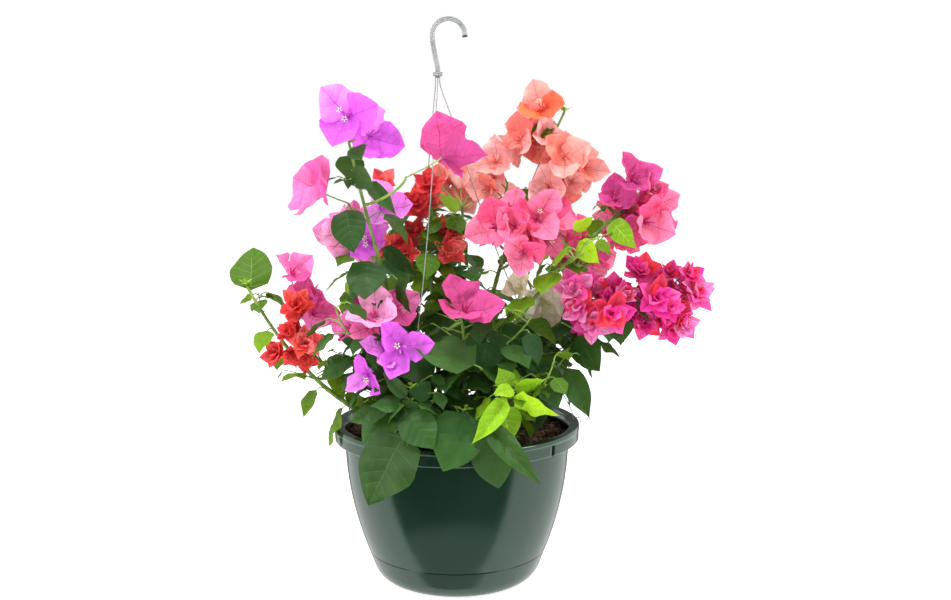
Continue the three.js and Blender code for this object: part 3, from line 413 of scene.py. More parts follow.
def tube(pile, line, radii, sides, slot, relief=None):
    """A round limb along a line of points. relief gives each ring point's share of the radius."""
    line = np.asarray(line)
    runs = np.gradient(line, axis=0)
    runs /= np.linalg.norm(runs, axis=1)[:, None]
    across = np.cross(runs[0], (0.3, 0.9, 0.2))
    turns = np.arange(sides) * 2 * math.pi / sides
    points = []
    for i, (at, run) in enumerate(zip(line, runs)):
        across = unit(across - run * (across @ run))
        other = np.cross(run, across)
        share = 1 if relief is None else relief[i]
        ring = np.outer(np.cos(turns) * share, across) + np.outer(np.sin(turns) * share, other)
        points.append(at + ring * radii[i])
    pile.add(np.concatenate(points), grid_faces(len(line), sides, closed=True), slot)


def blade_template(veins, inner, midrib, slant, power, widest, halo):
    """A leaf's or bract's grid, a unit long. Its rows follow the side veins, which are narrow rows of their
    own, and its middle column is the midrib. Returns the points' share of the length, their place across
    from -1 to 1, the half width there, how much the blade bulges between veins, the faces, and which of
    these are veins."""
    rows = [(0.0, 0.0, 0.0)]
    for k in range(veins):
        at = FIRST_VEIN + VEIN_SPAN * k / veins
        rows += [(at, -halo, 0.0), (at, halo, 0.0), (at + VEIN_SPAN / 2 / veins, 0.0, 1.0)]
    rows += [(0.9, 0.0, 0.4), (1.0, 0.0, 0.0)]
    right = [midrib, *inner, 1.0]
    across = np.array([-x for x in reversed(right)] + right)
    base, edge, bulge = (np.array(rows)[:, [k]] for k in range(3))
    s = base + edge * (1 - 0.85 * abs(across))
    s = np.clip(s + slant * s * (1 - s) * abs(across), 0, 1)
    stretch = math.log(0.5) / math.log(widest)
    half = np.sin(math.pi * s**stretch).clip(0, 1) ** (power[0] + power[1] * s)
    half = np.maximum(half, 0.012)
    lift = bulge * np.sin(math.pi * abs(across)).clip(0, 1) + 0 * s
    faces = grid_faces(len(rows), len(across))
    i, j = np.divmod(faces[:, 0], len(across))
    is_vein = (edge[:, 0][i] < 0) | ((across[j] < 0) & (across[j + 1] > 0))
    flat = across + 0 * s
    return s.ravel(), flat.ravel(), half.ravel(), lift.ravel(), faces, is_vein


# Each has its side veins, the columns beside its midrib, the midrib's half width, the veins' slant, how
# pointed it is at its foot and how much more at its tip, where it is widest, and a vein's half width.
LEAF_BLADE = blade_template(5, (0.35, 0.7), 0.016, 0.8, (0.44, 0.85), 0.38, 0.005)
ROUND_BLADE = blade_template(5, (0.35, 0.7), 0.016, 0.8, (0.4, 0.5), 0.41, 0.005)
SMALL_BLADE = blade_template(3, (0.5,), 0.022, 0.8, (0.55, 1.0), 0.4, 0.006)
BRACT_BLADE = blade_template(4, (0.35, 0.7), 0.014, 0.95, (0.42, 0.5), 0.45, 0.004)
SMALL_BRACT = blade_template(2, (0.5,), 0.02, 0.9, (0.45, 0.6), 0.44, 0.007)


def blade(pile, template, foot, run, up, length, width, slots, shape):
    """One leaf or bract blade."""
    s, v, half, lift, faces, is_vein = template
    fold, bend, twist, cup, wavy, crumple, phase = shape
    x = s * length
    y = v * half * width / 2 * (1 + crumple * np.sin(10 * s + phase * 3 + (v > 0) * 1.7))
    z = fold * abs(y) - cup * y * y / width + lift * 0.018 * length
    z += wavy * length * abs(v) ** 3 * np.sin(s * 15 + phase + (v > 0) * 2.1) * half
    z += crumple * length * half * np.sin(7 * s + 2.2 * v + phase) * np.cos(3.2 * v - 5 * s + phase * 2)
    z -= bend * length * (0.5 * s * s - 0.3 * s)
    turn = twist * (s - 0.3)
    y, z = y * np.cos(turn) - z * np.sin(turn) * 0.3, z + y * np.sin(turn)
    points = foot + np.outer(x, run) + np.outer(y, np.cross(run, up)) + np.outer(z, up)
    places = np.stack([s, v, np.full(len(s), rng.random())], 1)
    pile.add(points, faces, np.where(is_vein, slots[1], slots[0]), places)


# Where organs already are, so that finer ones keep off them, and what the camera has to see.
taken = []
in_view = []


def hides(place, size):
    """Whether something here would stand between the camera and one of the organs kept in view."""
    for seen, reach in in_view:
        line = seen - CAMERA
        share = (place - CAMERA) @ line / (line @ line)
        if share < 0.995 and np.linalg.norm(place - CAMERA - share * line) < reach + size * 0.4:
            return True
    return False


def free(place, size):
    if place[2] < POT_HEIGHT + 6 and LIP_RADIUS - 12 < math.hypot(place[0], place[1]) < RIM_RADIUS + 9:
        return False
    if place[2] < SOIL_HEIGHT + 5:
        return False
    near = any(np.linalg.norm(place - other) < NEARNESS * (size + reach) for other, reach in taken)
    return not near and not hides(place, size)


def tree_of(node):
    """The corners of a solid, to find which of the rule's tries it holds."""
    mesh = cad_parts[node].data
    tree = KDTree(len(mesh.vertices))
    for i, vertex in enumerate(mesh.vertices):
        tree.insert(vertex.co * 1000, i)
    tree.balance()
    return tree


def holds(tree, places):
    return all(tree.find(Vector(place))[2] < FOUND_WITHIN for place in places)


def leaf_frame(root, turn, petiole, length, droop, swing, roll):
    """The foot of a leaf's blade, the way the blade runs, its upper side, and its tip."""
    foot = root + heading(turn) * petiole + UP * petiole * 0.3
    out = heading(turn + swing)
    run = out * math.cos(droop) - UP * math.sin(droop)
    up = out * math.sin(droop) + UP * math.cos(droop)
    up = up * math.cos(roll) + np.cross(run, up) * math.sin(roll)
    return foot, run, up, foot + run * length


def leaf(pile, root, placed, length, width=LEAF_WIDTH, full=True):
    foot, run, up, _ = placed
    knee = foot - run * np.linalg.norm(foot - root) * 0.4
    line = [curve_at([root, knee, foot + run], t) for t in (0, 0.35, 0.7, 1)]
    tube(pile, line, [0.8, 0.65, 0.6, 0.55], 5 if full else 4, PETIOLE)
    tone = int(rng.integers(0, 3))
    shape = draws(LEAF_SHAPE)
    shape[0] += LEAF_WIDTH - width
    large = ROUND_BLADE if width == LEAF_WIDTH and length > ROUND_FROM else LEAF_BLADE
    template = large if full else SMALL_BLADE
    breadth = length * width * rng.uniform(0.96, 1.08)
    blade(pile, template, foot, run, up, length, breadth, (tone, VEIN), shape)
    taken.append((foot + run * length * 0.45, length * 0.5))


def flower(pile, hub, run, length, is_open):
    """A flower's tube between the bracts, with its pale star where it is open."""
    side = unit(np.cross(run, (0.31, 0.2, 0.93)))
    line = [hub + run * length * t + side * length * 0.06 * math.sin(3 * t) for t in (0, 0.3, 0.65, 0.9, 1)]
    tube(pile, line, [0.7, 1.15, 0.8, 1.15, 1.2 if is_open else 0.35], 6, TUBE)
    if not is_open:
        return
    other = np.cross(run, side)
    points = []
    for i in range(5):
        a, b = (i + 0.12) * 2 * math.pi / 5, (i + 0.88) * 2 * math.pi / 5
        for angle, reach, rise in ((a, 0.9, 0.2), (b, 0.9, 0.2), (b - 0.25, 3.1, 1.0), (a + 0.25, 3.1, 1.0)):
            points.append(line[-1] + (side * math.cos(angle) + other * math.sin(angle)) * reach + run * rise)
    pile.add(np.array(points), np.arange(20).reshape(5, 4), STAR)


def whorl(pile, template, hub, face, size, width, opened, count, roll, tones, ranges, loose=0.0):
    """Bracts round a bloom's axis, as the solid's star has its tips. loose is how uneven they are."""
    for i in range(count):
        angle = roll + 2 * math.pi * (i + rng.uniform(-0.3, 0.3) * loose) / count
        spread = opened * (1 + rng.uniform(-0.3, 0.12) * loose)
        length = size * (1 + rng.uniform(-0.22, 0.05) * loose)
        out = round_axis(face, angle)
        run = face * math.cos(spread) + out * math.sin(spread)
        up = face * math.sin(spread) - out * math.cos(spread)
        lean = rng.uniform(0.05, 0.3)
        up = up * math.cos(lean) + np.cross(run, up) * math.sin(lean)
        tone = tones[0] % 3
        if rng.random() < 0.35:
            tone += 1 if tone < 2 else -1
        tone = ODD if rng.random() < tones[1] else tone
        blade(pile, template, hub, run, up, length, length * width, (tone, VEIN), draws(ranges))


def bloom(row, hub, face, size, opened, roll, number, odd, full=True):
    """A bloom: three broad papery bracts with a flower on each, or whorls of narrower ones in a double.
    number sets its tone, and odd is the share of its bracts that have the odd colour."""
    pile = blossom[row.colour]
    tones = (TONES.get(row.name, number), odd)
    if row.bracts == 3:
        template = BRACT_BLADE if full else SMALL_BRACT
        breadth = BREADTH.get(row.name, 1) * rng.uniform(0.9, 1.04)
        whorl(pile, template, hub, face, size, breadth, opened, 3, roll, tones, BROAD_BRACT)
        for i in range(3):
            out = round_axis(face, roll + 2 * math.pi * i / 3 + 0.25)
            is_open = rng.random() < OPEN_FLOWERS.get(row.colour, RARELY_OPEN)
            length = size * rng.uniform(0.32, 0.42)
            flower(pile, hub + out * 0.8, unit(face + out * 0.3), length, is_open)
        return
    for k, (share, width, spread, count) in enumerate(DOUBLE):
        whorl(
            pile, SMALL_BRACT, hub + face * k * 1.4, face, size * share, width, opened * spread, count,
            roll + k * 0.6, tones, NARROW_BRACT, loose=1.0 if k else 0.4,
        )


# Piles by kind: bark, shoots, leaves by tone, blossom by colour.
bark = Pile()
shoots = Pile()
leaves = {tone: Pile() for tone in LEAF_COLOURS}
blossom = {colour: Pile() for colour in BRACT_COLOURS}

# The organs that the photograph shows large and clear.
for spray in SPRAYS:
    for hero in spray.heroes:
        in_view.append((vec(hero[:3]), hero[6] * 0.62))
for cane in CANES:
    for at, turn, petiole, length, *pose in cane.heroes:
        placed = leaf_frame(on_stem(cane, at), math.radians(turn), petiole, length, *np.radians(pose[:3]))
        in_view.append((placed[0] + placed[1] * length * 0.45, length * 0.3))


def spray_line(cane, row):
    """The line of a spray's stalk, as in the solids."""
    root = on_stem(cane, row.at)
    head = vec(row.head) - unit(vec(row.face)) * row.bract
    to_head = head - root
    run = curve_run(cane_curve(cane), row.at)
    square = unit(to_head - run * (to_head @ run))
    reach = np.linalg.norm(to_head)
    return [root, root + square * reach * 0.33, head - UP * reach * 0.15, head]


def bloom_place(draw):
    height = 2 * draw() - 1
    angle = 2 * math.pi * draw()
    ring = math.sqrt(1 - height * height)
    depth = 0.45 + 0.55 * draw()
    return np.array((ring * math.cos(angle), ring * math.sin(angle), height)) * depth


def pedicel(root, hub, face):
    line = curve_points([root, (root + hub) / 2 - face * 4, hub - face * 5, hub + face * 0.6], 6)
    tube(shoots, line, [0.85, 0.75, 0.7, 0.7, 0.75, 0.95], 5, STALK)


def grow_spray(index, row):
    """A spray's stalk, and each bloom at the first of the rule's tries that the solid holds."""
    cane = next(each for each in CANES if each.name == row.cane)
    line = spray_line(cane, row)
    grow_twig(line, TWIG_RADIUS, 16, 1.25, 0.9)
    tree = tree_of(f"blossom_{row.name}")
    opened = math.radians(row.open)
    odd_share = ODD_SHARE.get(row.colour, 0)
    for i in range(row.blooms):
        draw = seeded(SPRAY_SEED + index, i)
        hero = row.heroes[i] if i < len(row.heroes) else None
        for k in range(BLOOM_TRIES):
            offset = bloom_place(draw)
            size = (hero[6] if hero else row.bract * (1.06 - 0.2 * draw())) * (1 - 0.005 * k)
            roll = draw() * 2 * math.pi
            centre = vec(hero[:3]) if hero else vec(row.head) + offset * row.reach
            face = unit(vec(hero[3:6]) if hero else unit(vec(row.face)) + offset * 0.7)
            hub = centre - face * size * 0.35
            tips = []
            for j in range(row.bracts):
                out = round_axis(face, roll + 2 * math.pi * j / row.bracts)
                tips.append(hub + (face * math.cos(opened) + out * math.sin(opened)) * size)
            if holds(tree, tips):
                odd = ODD_BLOOM_SHARE if (row.name, i) == ODD_BLOOM else odd_share
                bloom(row, hub, face, size, opened, roll, index + i, odd)
                pedicel(curve_at(line, 0.97 - 0.5 * i / row.blooms), hub, face)
                taken.append((centre, size * 0.9))
                break
        else:
            print(f"{row.name}: no solid for bloom {i}")
    if max(row.reach) > 0:
        grow_more_blooms(index, row, line, opened, odd_share)


def grow_more_blooms(index, row, line, opened, odd):
    """Finer blooms between the solids' own, inside the spray's reach."""
    share = MORE_BLOOMS.get(row.name, MORE_BLOOMS[row.colour])
    for i in range(round(row.blooms * share)):
        for _ in range(FINER_TRIES):
            offset = unit(rng.normal(size=3)) * rng.uniform(0.35, 1.0)
            size = row.bract * rng.uniform(0.6, 0.9)
            face = unit(unit(vec(row.face)) + offset * 0.9)
            centre = vec(row.head) + offset * row.reach * 0.95
            if free(centre, size * 0.62):
                hub = centre - face * size * 0.35
                spread = opened * rng.uniform(0.7, 1.0)
                bloom(row, hub, face, size, spread, rng.uniform(0, 6.3), index + i, odd, full=False)
                pedicel(curve_at(line, rng.uniform(0.45, 0.97)), hub, face)
                taken.append((centre, size * 0.6))
                break


def unevenness(x, y, z):
    return noise.noise(Vector((x, y, z)))


def grow_limb(cane):
    """The cane from the soil to its tip: bark with knots where leaves were, then the green shoot."""
    curve = cane_curve(cane)
    length = sum(np.linalg.norm(curve_at(curve, (i + 1) / 20) - curve_at(curve, i / 20)) for i in range(20))
    count = int(length / 3)
    turns = np.arange(LIMB_SIDES) * 2 * math.pi / LIMB_SIDES
    for pile, start, end, rough in ((bark, 0, cane.bare, 0.13), (shoots, cane.bare, 1, 0.05)):
        steps = np.linspace(start, end, max(6, int(count * (end - start)) + 1))
        line = [curve_at(curve, t) - UP * (3 if t == 0 else 0) for t in steps]
        knots = 1 + 0.16 * np.exp(-(((steps * length / 24) % 1 - 0.5) / 0.09) ** 2)
        radii = [cane_radius(cane, t) * knot for t, knot in zip(steps, knots)]
        relief = []
        for t in steps:
            coarse, fine = t * length / 14 + cane.girth * 9, t * length / 3
            relief.append([
                1 + rough * unevenness(math.cos(a) * 2.2, math.sin(a) * 2.2, coarse)
                + rough * 0.7 * unevenness(math.cos(a) * 5, math.sin(a) * 5, fine)
                for a in turns
            ])
        tube(pile, line, radii, LIMB_SIDES, 0, relief)
    for i in range(int(length / 30)):
        t = (i + 0.7) * 30 / length
        if t < 0.97:
            thorn(curve, cane, t, i * GOLDEN)


def thorn(curve, cane, t, turn):
    """A short curved spine at a leaf joint."""
    at, run = curve_at(curve, t), curve_run(curve, t)
    out = heading(turn)
    out = unit(out - run * (out @ run))
    start = at + out * cane_radius(cane, t) * 0.7
    long = 6 * (1 - 0.5 * t)
    line = [start, start + out * long * 0.5 + run * 0.3, start + out * long - run * 0.8]
    tube(bark if t < cane.bare else shoots, line, [0.8, 0.5, 0.12], 5, 0)


def grow_leaf(pile, tree, root, tries, length, pose, width=LEAF_WIDTH):
    """A leaf at the first of the rule's tries that the solid holds. pose is its droop, swing and roll."""
    for turn, petiole in tries:
        placed = leaf_frame(root, turn, petiole, length, *pose)
        if holds(tree, placed[3:]):
            leaf(pile, root, placed, length, width)
            return True
    return False


def side_twig(tree, draw, root):
    """A side twig's line at the first of the rule's tries that the solid holds, if it holds one."""
    turn, length, lift = 2 * math.pi * draw(), 52 + 34 * draw(), math.radians(18 + 30 * draw())
    for k in range(LEAF_TRIES):
        out = heading(turn + k * 0.9)
        knee = root + out * length * 0.55 + UP * length * 0.08
        end = root + out * length * math.cos(lift) + UP * length * math.sin(lift)
        if len(tree.find_range(Vector(end), TWIG_FOUND_WITHIN)) >= 3:
            return [root, knee, end]
    return None


def green_of(cane):
    """The pile of a cane's ordinary leaves: only the large ones are lime."""
    return leaves["mid" if cane.tone == "lime" else cane.tone]


def grow_foliage(index, cane):
    """A mass's large leaves, its side twigs and its other leaves. Returns the twigs' lines."""
    tree = tree_of(f"foliage_{cane.name}")
    for at, turn, petiole, length, *pose in cane.heroes:
        tries = [(math.radians(turn + step), petiole + HERO_STRETCH * k) for k, step in enumerate(HERO_STEPS)]
        width = pose[3] if len(pose) > 3 else LEAF_WIDTH
        pile = leaves[cane.tone]
        if not grow_leaf(pile, tree, on_stem(cane, at), tries, length, np.radians(pose[:3]), width):
            print(f"{cane.name}: no solid for the large leaf at {at}")
    places = []
    for i in range(cane.leaves):
        at = cane.bare + (1 - cane.bare) * ((i + 0.6) / cane.leaves)
        places.append((on_stem(cane, at), at, cane.blade))
    twigs = []
    for j in range(cane.twigs):
        at = cane.bare + (1 - cane.bare) * ((j + 0.6) / cane.twigs) * 0.85
        line = side_twig(tree, seeded(index + 1, TWIG_SEED + j), on_stem(cane, at))
        if line:
            twigs.append(line)
            grow_twig(line, TWIG_RADIUS)
            for i in range(TWIG_LEAVES):
                at = 0.42 + 0.56 * i / (TWIG_LEAVES - 1)
                places.append((on_limb(line, 0, 1, TWIG_STEPS, at), at, cane.blade * 0.8))
    for i, (root, at, full) in enumerate(places):
        draw = seeded(index + 1, i)
        turn = i * GOLDEN + 0.8 * draw()
        length = full * (0.8 + 0.35 * draw()) * (1 - 0.3 * at * at)
        petiole = 13 + 9 * draw()
        droop = math.radians(22 + 46 * draw())
        roll = (draw() - 0.5) * 0.6
        tries = [(turn + 0.9 * k, petiole) for k in range(LEAF_TRIES)]
        grow_leaf(green_of(cane), tree, root, tries, length, (droop, 0, roll))
    return twigs


def grow_twig(line, radius, count=9, foot=1.15, tip=0.6):
    tube(shoots, curve_points(line, count), np.linspace(foot, tip, count) * radius * 0.9, 7, STALK)


def grow_finer(cane, twigs):
    """Finer twigs with smaller leaves, off the stem and its side twigs, inside the solid's reach."""
    low, high = (np.array(corner) * 1000 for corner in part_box(f"foliage_{cane.name}"))
    count, full = FINER.get(cane.name, USUAL_FINER)
    lowest = cane.bare * (0.55 if count > USUAL_FINER[0] else 1)
    starts = [(cane_curve(cane), lowest + (1 - lowest) * (i + 0.5) / count, full) for i in range(count)]
    starts += [(line, 0.25 + 0.22 * i, full * 0.85) for line in twigs for i in range(4)]
    for i, (line, at, share) in enumerate(starts):
        root = curve_at(line, at)
        out = heading(i * GOLDEN + rng.uniform(0, 0.9))
        length = rng.uniform(16, 34)
        end = root + out * length + UP * length * rng.uniform(0.2, 0.8)
        if not (np.all(end > low + 4) and np.all(end < high - 4)):
            continue
        finer = [root, (root + end) / 2 + UP * 2, end]
        grown = 0
        for j in range(5):
            t = 0.3 + 0.7 * j / 4
            start = curve_at(finer, t)
            size = cane.blade * share * rng.uniform(0.42, 0.78) * (1 - 0.25 * t)
            turn = j * GOLDEN + i
            droop, roll = rng.uniform(0.1, 1.1), rng.uniform(-0.4, 0.4)
            placed = leaf_frame(start, turn, size * 0.24, size, droop, 0, roll)
            inside = np.all(placed[3] > low - 3) and np.all(placed[3] < high + 3)
            if inside and free(placed[0] + placed[1] * size * 0.45, size * 0.42):
                leaf(green_of(cane), start, placed, size, full=False)
                grown += 1
        if grown:
            grow_twig(finer, 0.8)


def grow_tip(cane):
    """The bud and the young leaves at a cane's end."""
    end = vec(cane.tip)
    run = curve_run(cane_curve(cane), 1.0)
    for j in range(4):
        size = 9 - 1.3 * j
        droop = rng.uniform(-0.9, -0.1)
        placed = leaf_frame(end + run * j * 1.4, j * 2.4 + cane.girth, 2.5, size, droop, 0, 0)
        leaf(leaves["lime"], end + run * j * 1.2, placed, size, full=False)


for index, row in enumerate(SPRAYS):
    grow_spray(index, row)
grown_twigs = [grow_foliage(index, cane) for index, cane in enumerate(CANES)]
for cane, twigs in zip(CANES, grown_twigs):
    grow_limb(cane)
    grow_finer(cane, twigs)
    grow_tip(cane)


def linear(code, share=1.0):
    """A colour written as a hex code, as the renderer counts it."""
    channels = [int(code[i:i + 2], 16) / 255 for i in (0, 2, 4)]
    return [(c / 12.92 if c <= 0.04045 else ((c + 0.055) / 1.055) ** 2.4) * share for c in channels] + [1.0]


class Tree:
    """The node tree of a material or world. A value given to it is a number, a colour or a node's output."""

    def __init__(self, owner):
        owner.use_nodes = True
        self.nodes, self.links = owner.node_tree.nodes, owner.node_tree.links

    def feed(self, sockets, values):
        for name, value in values.items():
            if isinstance(value, bpy.types.NodeSocket):
                self.links.new(value, sockets[name])
            else:
                sockets[name].default_value = value

    def add(self, kind, values):
        node = self.nodes.new(kind)
        self.feed(node.inputs, values)
        return node

    def math(self, operation, *values):
        node = self.nodes.new("ShaderNodeMath")
        node.operation = operation
        self.feed(node.inputs, dict(enumerate(values)))
        return node.outputs["Value"]

    def parts(self, vector):
        split = self.add("ShaderNodeSeparateXYZ", {"Vector": vector})
        return [split.outputs[axis] for axis in "XYZ"]

    def place(self, kind):
        return self.nodes.new("ShaderNodeTexCoord").outputs[kind]

    def span(self, value, start, end, low, high, kind="LINEAR"):
        """A value's run from start to end, turned into one from low to high."""
        values = {"Value": value, "From Min": start, "From Max": end, "To Min": low, "To Max": high}
        node = self.add("ShaderNodeMapRange", values)
        node.interpolation_type = kind
        return node.outputs["Result"]

    def noise(self, scale, detail, stretch=None):
        place = self.place("Object")
        if stretch:
            place = self.add("ShaderNodeMapping", {"Vector": place, "Scale": stretch}).outputs["Vector"]
        texture = self.add("ShaderNodeTexNoise", {"Vector": place, "Scale": scale, "Detail": detail})
        return texture.outputs["Fac"]

    def mottle(self, texture, first, second):
        """Two colours, dealt out by a noise."""
        ramp = self.add("ShaderNodeValToRGB", {"Fac": texture})
        for element, position, colour in zip(ramp.color_ramp.elements, (0.35, 0.65), (first, second)):
            element.position = position
            element.color = colour
        return ramp.outputs["Color"]

    def bump(self, height, strength, distance):
        values = {"Height": height, "Strength": strength, "Distance": distance}
        return self.add("ShaderNodeBump", values).outputs["Normal"]


class Look(Tree):
    """A new material and its shader."""

    def __init__(self, name, roughness, metallic=0.0, specular=0.5):
        self.material = bpy.data.materials.new(name)
        super().__init__(self.material)
        self.shader = self.nodes["Principled BSDF"]
        self.dress({"Roughness": roughness, "Metallic": metallic, "Specular IOR Level": specular})

    def dress(self, values):
        self.feed(self.shader.inputs, values)


def thin_material(name, code, through, roughness, share, veins, slant, relief):
    """A leaf or bract: mottled, a little different from blade to blade, paler to its edge and tip, puckered
    between veins, with a share of the light coming through it. veins and slant are how many puckers there
    are and how they slant, and relief is the depth of the puckers and of the crumples over them."""
    look = Look(name, roughness, specular=0.14)
    calc = look.math
    blade_place = look.nodes.new("ShaderNodeAttribute")
    blade_place.attribute_name = "blade"
    along, across, number = look.parts(blade_place.outputs["Vector"])
    side = calc("ABSOLUTE", across)
    paler = calc("MULTIPLY_ADD", calc("MULTIPLY", side, along), 0.3, 0.8)
    colour = look.add("ShaderNodeHueSaturation", {
        "Color": look.mottle(look.noise(130, 4), linear(code, 0.86), linear(code, 1.06)),
        "Value": calc("MULTIPLY_ADD", number, 0.24, paler),
        "Hue": calc("MULTIPLY_ADD", number, 0.014, 0.493),
    })
    bow = calc("MULTIPLY", along, calc("SUBTRACT", 1.0, along))
    bent = calc("MULTIPLY", calc("MULTIPLY", bow, side), slant)
    row = calc("MULTIPLY", calc("SUBTRACT", along, bent), veins / VEIN_SPAN)
    vein = calc("PINGPONG", calc("SUBTRACT", row, FIRST_VEIN * veins / VEIN_SPAN), 0.5)
    pucker = calc("MULTIPLY", calc("POWER", vein, 0.6), relief[0])
    height = calc("MULTIPLY_ADD", look.noise(150, 4), relief[1], pucker)
    look.dress({"Base Color": colour.outputs["Color"], "Normal": look.bump(height, 0.7, 0.001)})
    glow = look.add("ShaderNodeBsdfTranslucent", {"Color": linear(through)})
    mix = look.add("ShaderNodeMixShader", {0: share, 1: look.shader.outputs["BSDF"], 2: glow.outputs["BSDF"]})
    look.feed(look.nodes["Material Output"].inputs, {"Surface": mix.outputs["Shader"]})
    return look.material


def plain_material(name, low, high, roughness, scale, strength, distance, stretch=None):
    """A solid surface with two tones and a relief, both from one noise."""
    look = Look(name, roughness)
    texture = look.noise(scale, 5, stretch)
    normal = look.bump(texture, strength, distance)
    look.dress({"Base Color": look.mottle(texture, linear(low), linear(high)), "Normal": normal})
    return look.material


shoot_green = plain_material("shoot_green", "55732f", "7d9a3c", 0.5, 240, 0.3, 0.0004, (1, 1, 0.3))
stalk_green = plain_material("stalk_green", "5c7c2e", "84a044", 0.55, 300, 0.2, 0.0003, (1, 1, 0.4))
bark_brown = plain_material("bark_brown", "4a4226", "7a7048", 0.85, 420, 0.8, 0.0009, (1, 1, 0.22))
bark.make("bark", [bark_brown], "wood", [f"cane_{cane.name}" for cane in CANES])
shoots.make("shoots", [shoot_green, stalk_green], "leaf_mid")

# The light that comes through a leaf of each tone, and how rough the leaf is.
LEAF_LOOKS = {"dark": ("7fa52e", 0.45), "mid": ("9cc22e", 0.5), "lime": ("c9ec3a", 0.55)}
for tone, codes in LEAF_COLOURS.items():
    through, roughness = LEAF_LOOKS[tone]
    made = [
        thin_material(
            f"leaf_{tone}_{i}", code, through, roughness, share=0.12, veins=5, slant=0.8, relief=(0.4, 0.8),
        )
        for i, code in enumerate(codes)
    ]
    nodes = [f"foliage_{cane.name}" for cane in CANES if cane.tone == tone]
    leaves[tone].make(f"leaves_{tone}", [*made, stalk_green], f"leaf_{tone}", nodes)


def bract_material(name, code):
    return thin_material(name, code, code, 0.72, share=0.32, veins=8, slant=0.95, relief=(0.5, 3.4))


flower_cream = thin_material("flower_cream", "f4efd2", "fffbe0", 0.6, 0.3, 1, 0.0, (0.0, 0.3))
for colour, codes in BRACT_COLOURS.items():
    _, middle, deep, vein = codes
    made = [bract_material(f"bract_{colour}_{i}", code) for i, code in enumerate(codes)]
    tube_code = "b8c96a" if colour == "cream" else vein
    made.append(plain_material(f"flower_{colour}", tube_code, deep, 0.6, 400, 0.2, 0.0003))
    made.append(flower_cream)
    made.append(bract_material(f"bract_{colour}_odd", ODD_COLOURS.get(colour, middle)))
    nodes = [f"blossom_{row.name}" for row in SPRAYS if row.colour == colour]
    blossom[colour].make(f"bracts_{colour}", made, f"bract_{colour}", nodes)


def body_radius(height):
    """The pot's outer radius between its shoulder and the underside of its rim."""
    drop = (NECK - height) / (NECK - SHOULDER_HEIGHT)
    return NECK_RADIUS - (NECK_RADIUS - SHOULDER_RADIUS) * max(drop, 0) ** BODY_CURVE


def rounded(corners, radius, steps=4):
    """An outline whose corners are rounded, as [radius, height] pairs."""
    corners = [vec(c) for c in corners]
    out = [corners[0]]
    for before, at, after in zip(corners, corners[1:], corners[2:]):
        reach = min(radius, np.linalg.norm(before - at) * 0.45, np.linalg.norm(after - at) * 0.45)
        out += curve_points([at + unit(before - at) * reach, at, at + unit(after - at) * reach], steps + 1)
    out.append(corners[-1])
    return out


def turned(name, outline, material, slot, nodes, around=160, centre=(0, 0, 0)):
    """A piece turned about an upright axis from an outline."""
    turns = np.arange(around) * 2 * math.pi / around
    circle = np.stack([np.sin(turns), -np.cos(turns), 0 * turns], 1)
    rings = [vec(centre) + circle * r + UP * z for r, z in outline]
    pile = Pile()
    pile.add(np.concatenate(rings), grid_faces(len(outline), around, closed=True), 0)
    return pile.make(name, [material], slot, nodes)


def pot_material():
    """Dark green glossy plastic: a faint orange peel, dust that dulls it in places, and a painted highlight:
    pale bands along the skirt's lower edge and near the rim's top.
    """
    look = Look("pot_green", 0.2, specular=1.0)
    height = look.parts(look.place("Object"))[2]
    # Painted highlight: a paler green mixed in within about a millimetre of the skirt's lower edge and of a
    # height near the rim's top, broken up by a noise.
    nearness = [
        look.math("DIVIDE", look.math("ABSOLUTE", look.math("SUBTRACT", height, edge / 1000)), 0.0011)
        for edge in (NECK + 0.4, POT_HEIGHT - 4.2)
    ]
    edge_highlight = look.span(look.math("MINIMUM", *nearness), 1.0, 0.0, 0.0, 0.75)
    edge_highlight_mix = look.nodes.new("ShaderNodeMix")
    edge_highlight_mix.data_type = "RGBA"
    look.feed(edge_highlight_mix.inputs, {
        "Factor": look.math("MULTIPLY", edge_highlight, look.noise(70, 4)),
        "A": look.mottle(look.noise(9, 4), linear("10241a"), linear("14291f")),
        "B": linear("6d8577"),
    })
    look.dress({
        "Specular Tint": (0.78, 1.0, 0.84, 1.0),
        "Base Color": edge_highlight_mix.outputs["Result"],
        "Roughness": look.span(look.noise(45, 6), 0.0, 1.0, 0.06, 0.2),
        "Normal": look.bump(look.noise(160, 2), 0.06, 0.0006),
    })
    return look.material


pot_green = pot_material()
side = [(body_radius(z), z) for z in np.linspace(SHOULDER_HEIGHT + 0.4, NECK + 6, 30)]
inner = [(body_radius(z) - WALL, z) for z in np.linspace(POT_HEIGHT - 6, SOIL_HEIGHT - 12, 6)]
rim = rounded(
    [
        side[-1],
        (LIP_RADIUS + 1.6, POT_HEIGHT - WALL - 0.4),
        (SKIRT_RADIUS - WALL, POT_HEIGHT - WALL - 0.4),
        (SKIRT_RADIUS - WALL, NECK),
        (SKIRT_RADIUS, NECK),
        (SKIRT_RADIUS + 0.35, POT_HEIGHT - 6.2),
        (RIM_RADIUS, POT_HEIGHT - 4.6),
        (RIM_RADIUS - 0.5, POT_HEIGHT),
        (LIP_RADIUS, POT_HEIGHT - 0.4),
        inner[0],
    ],
    1.4,
)
shell = turned("pot_shell", side + rim[1:] + inner[1:], pot_green, "pot", ["pot"])
foot_side = [
    (0.3, 0),
    (SAUCER_FOOT_RADIUS, 0),
    (SAUCER_TURN_RADIUS - 4, SAUCER_TURN_HEIGHT * 0.42),
    (SAUCER_TURN_RADIUS, SAUCER_TURN_HEIGHT),
    (SHOULDER_RADIUS - 0.2, SHOULDER_HEIGHT - GAP),
    (SHOULDER_RADIUS - 1.6, SHOULDER_HEIGHT - GAP),
]
turned("saucer_shell", rounded(foot_side, 5, 6), pot_green, "pot", ["saucer"])
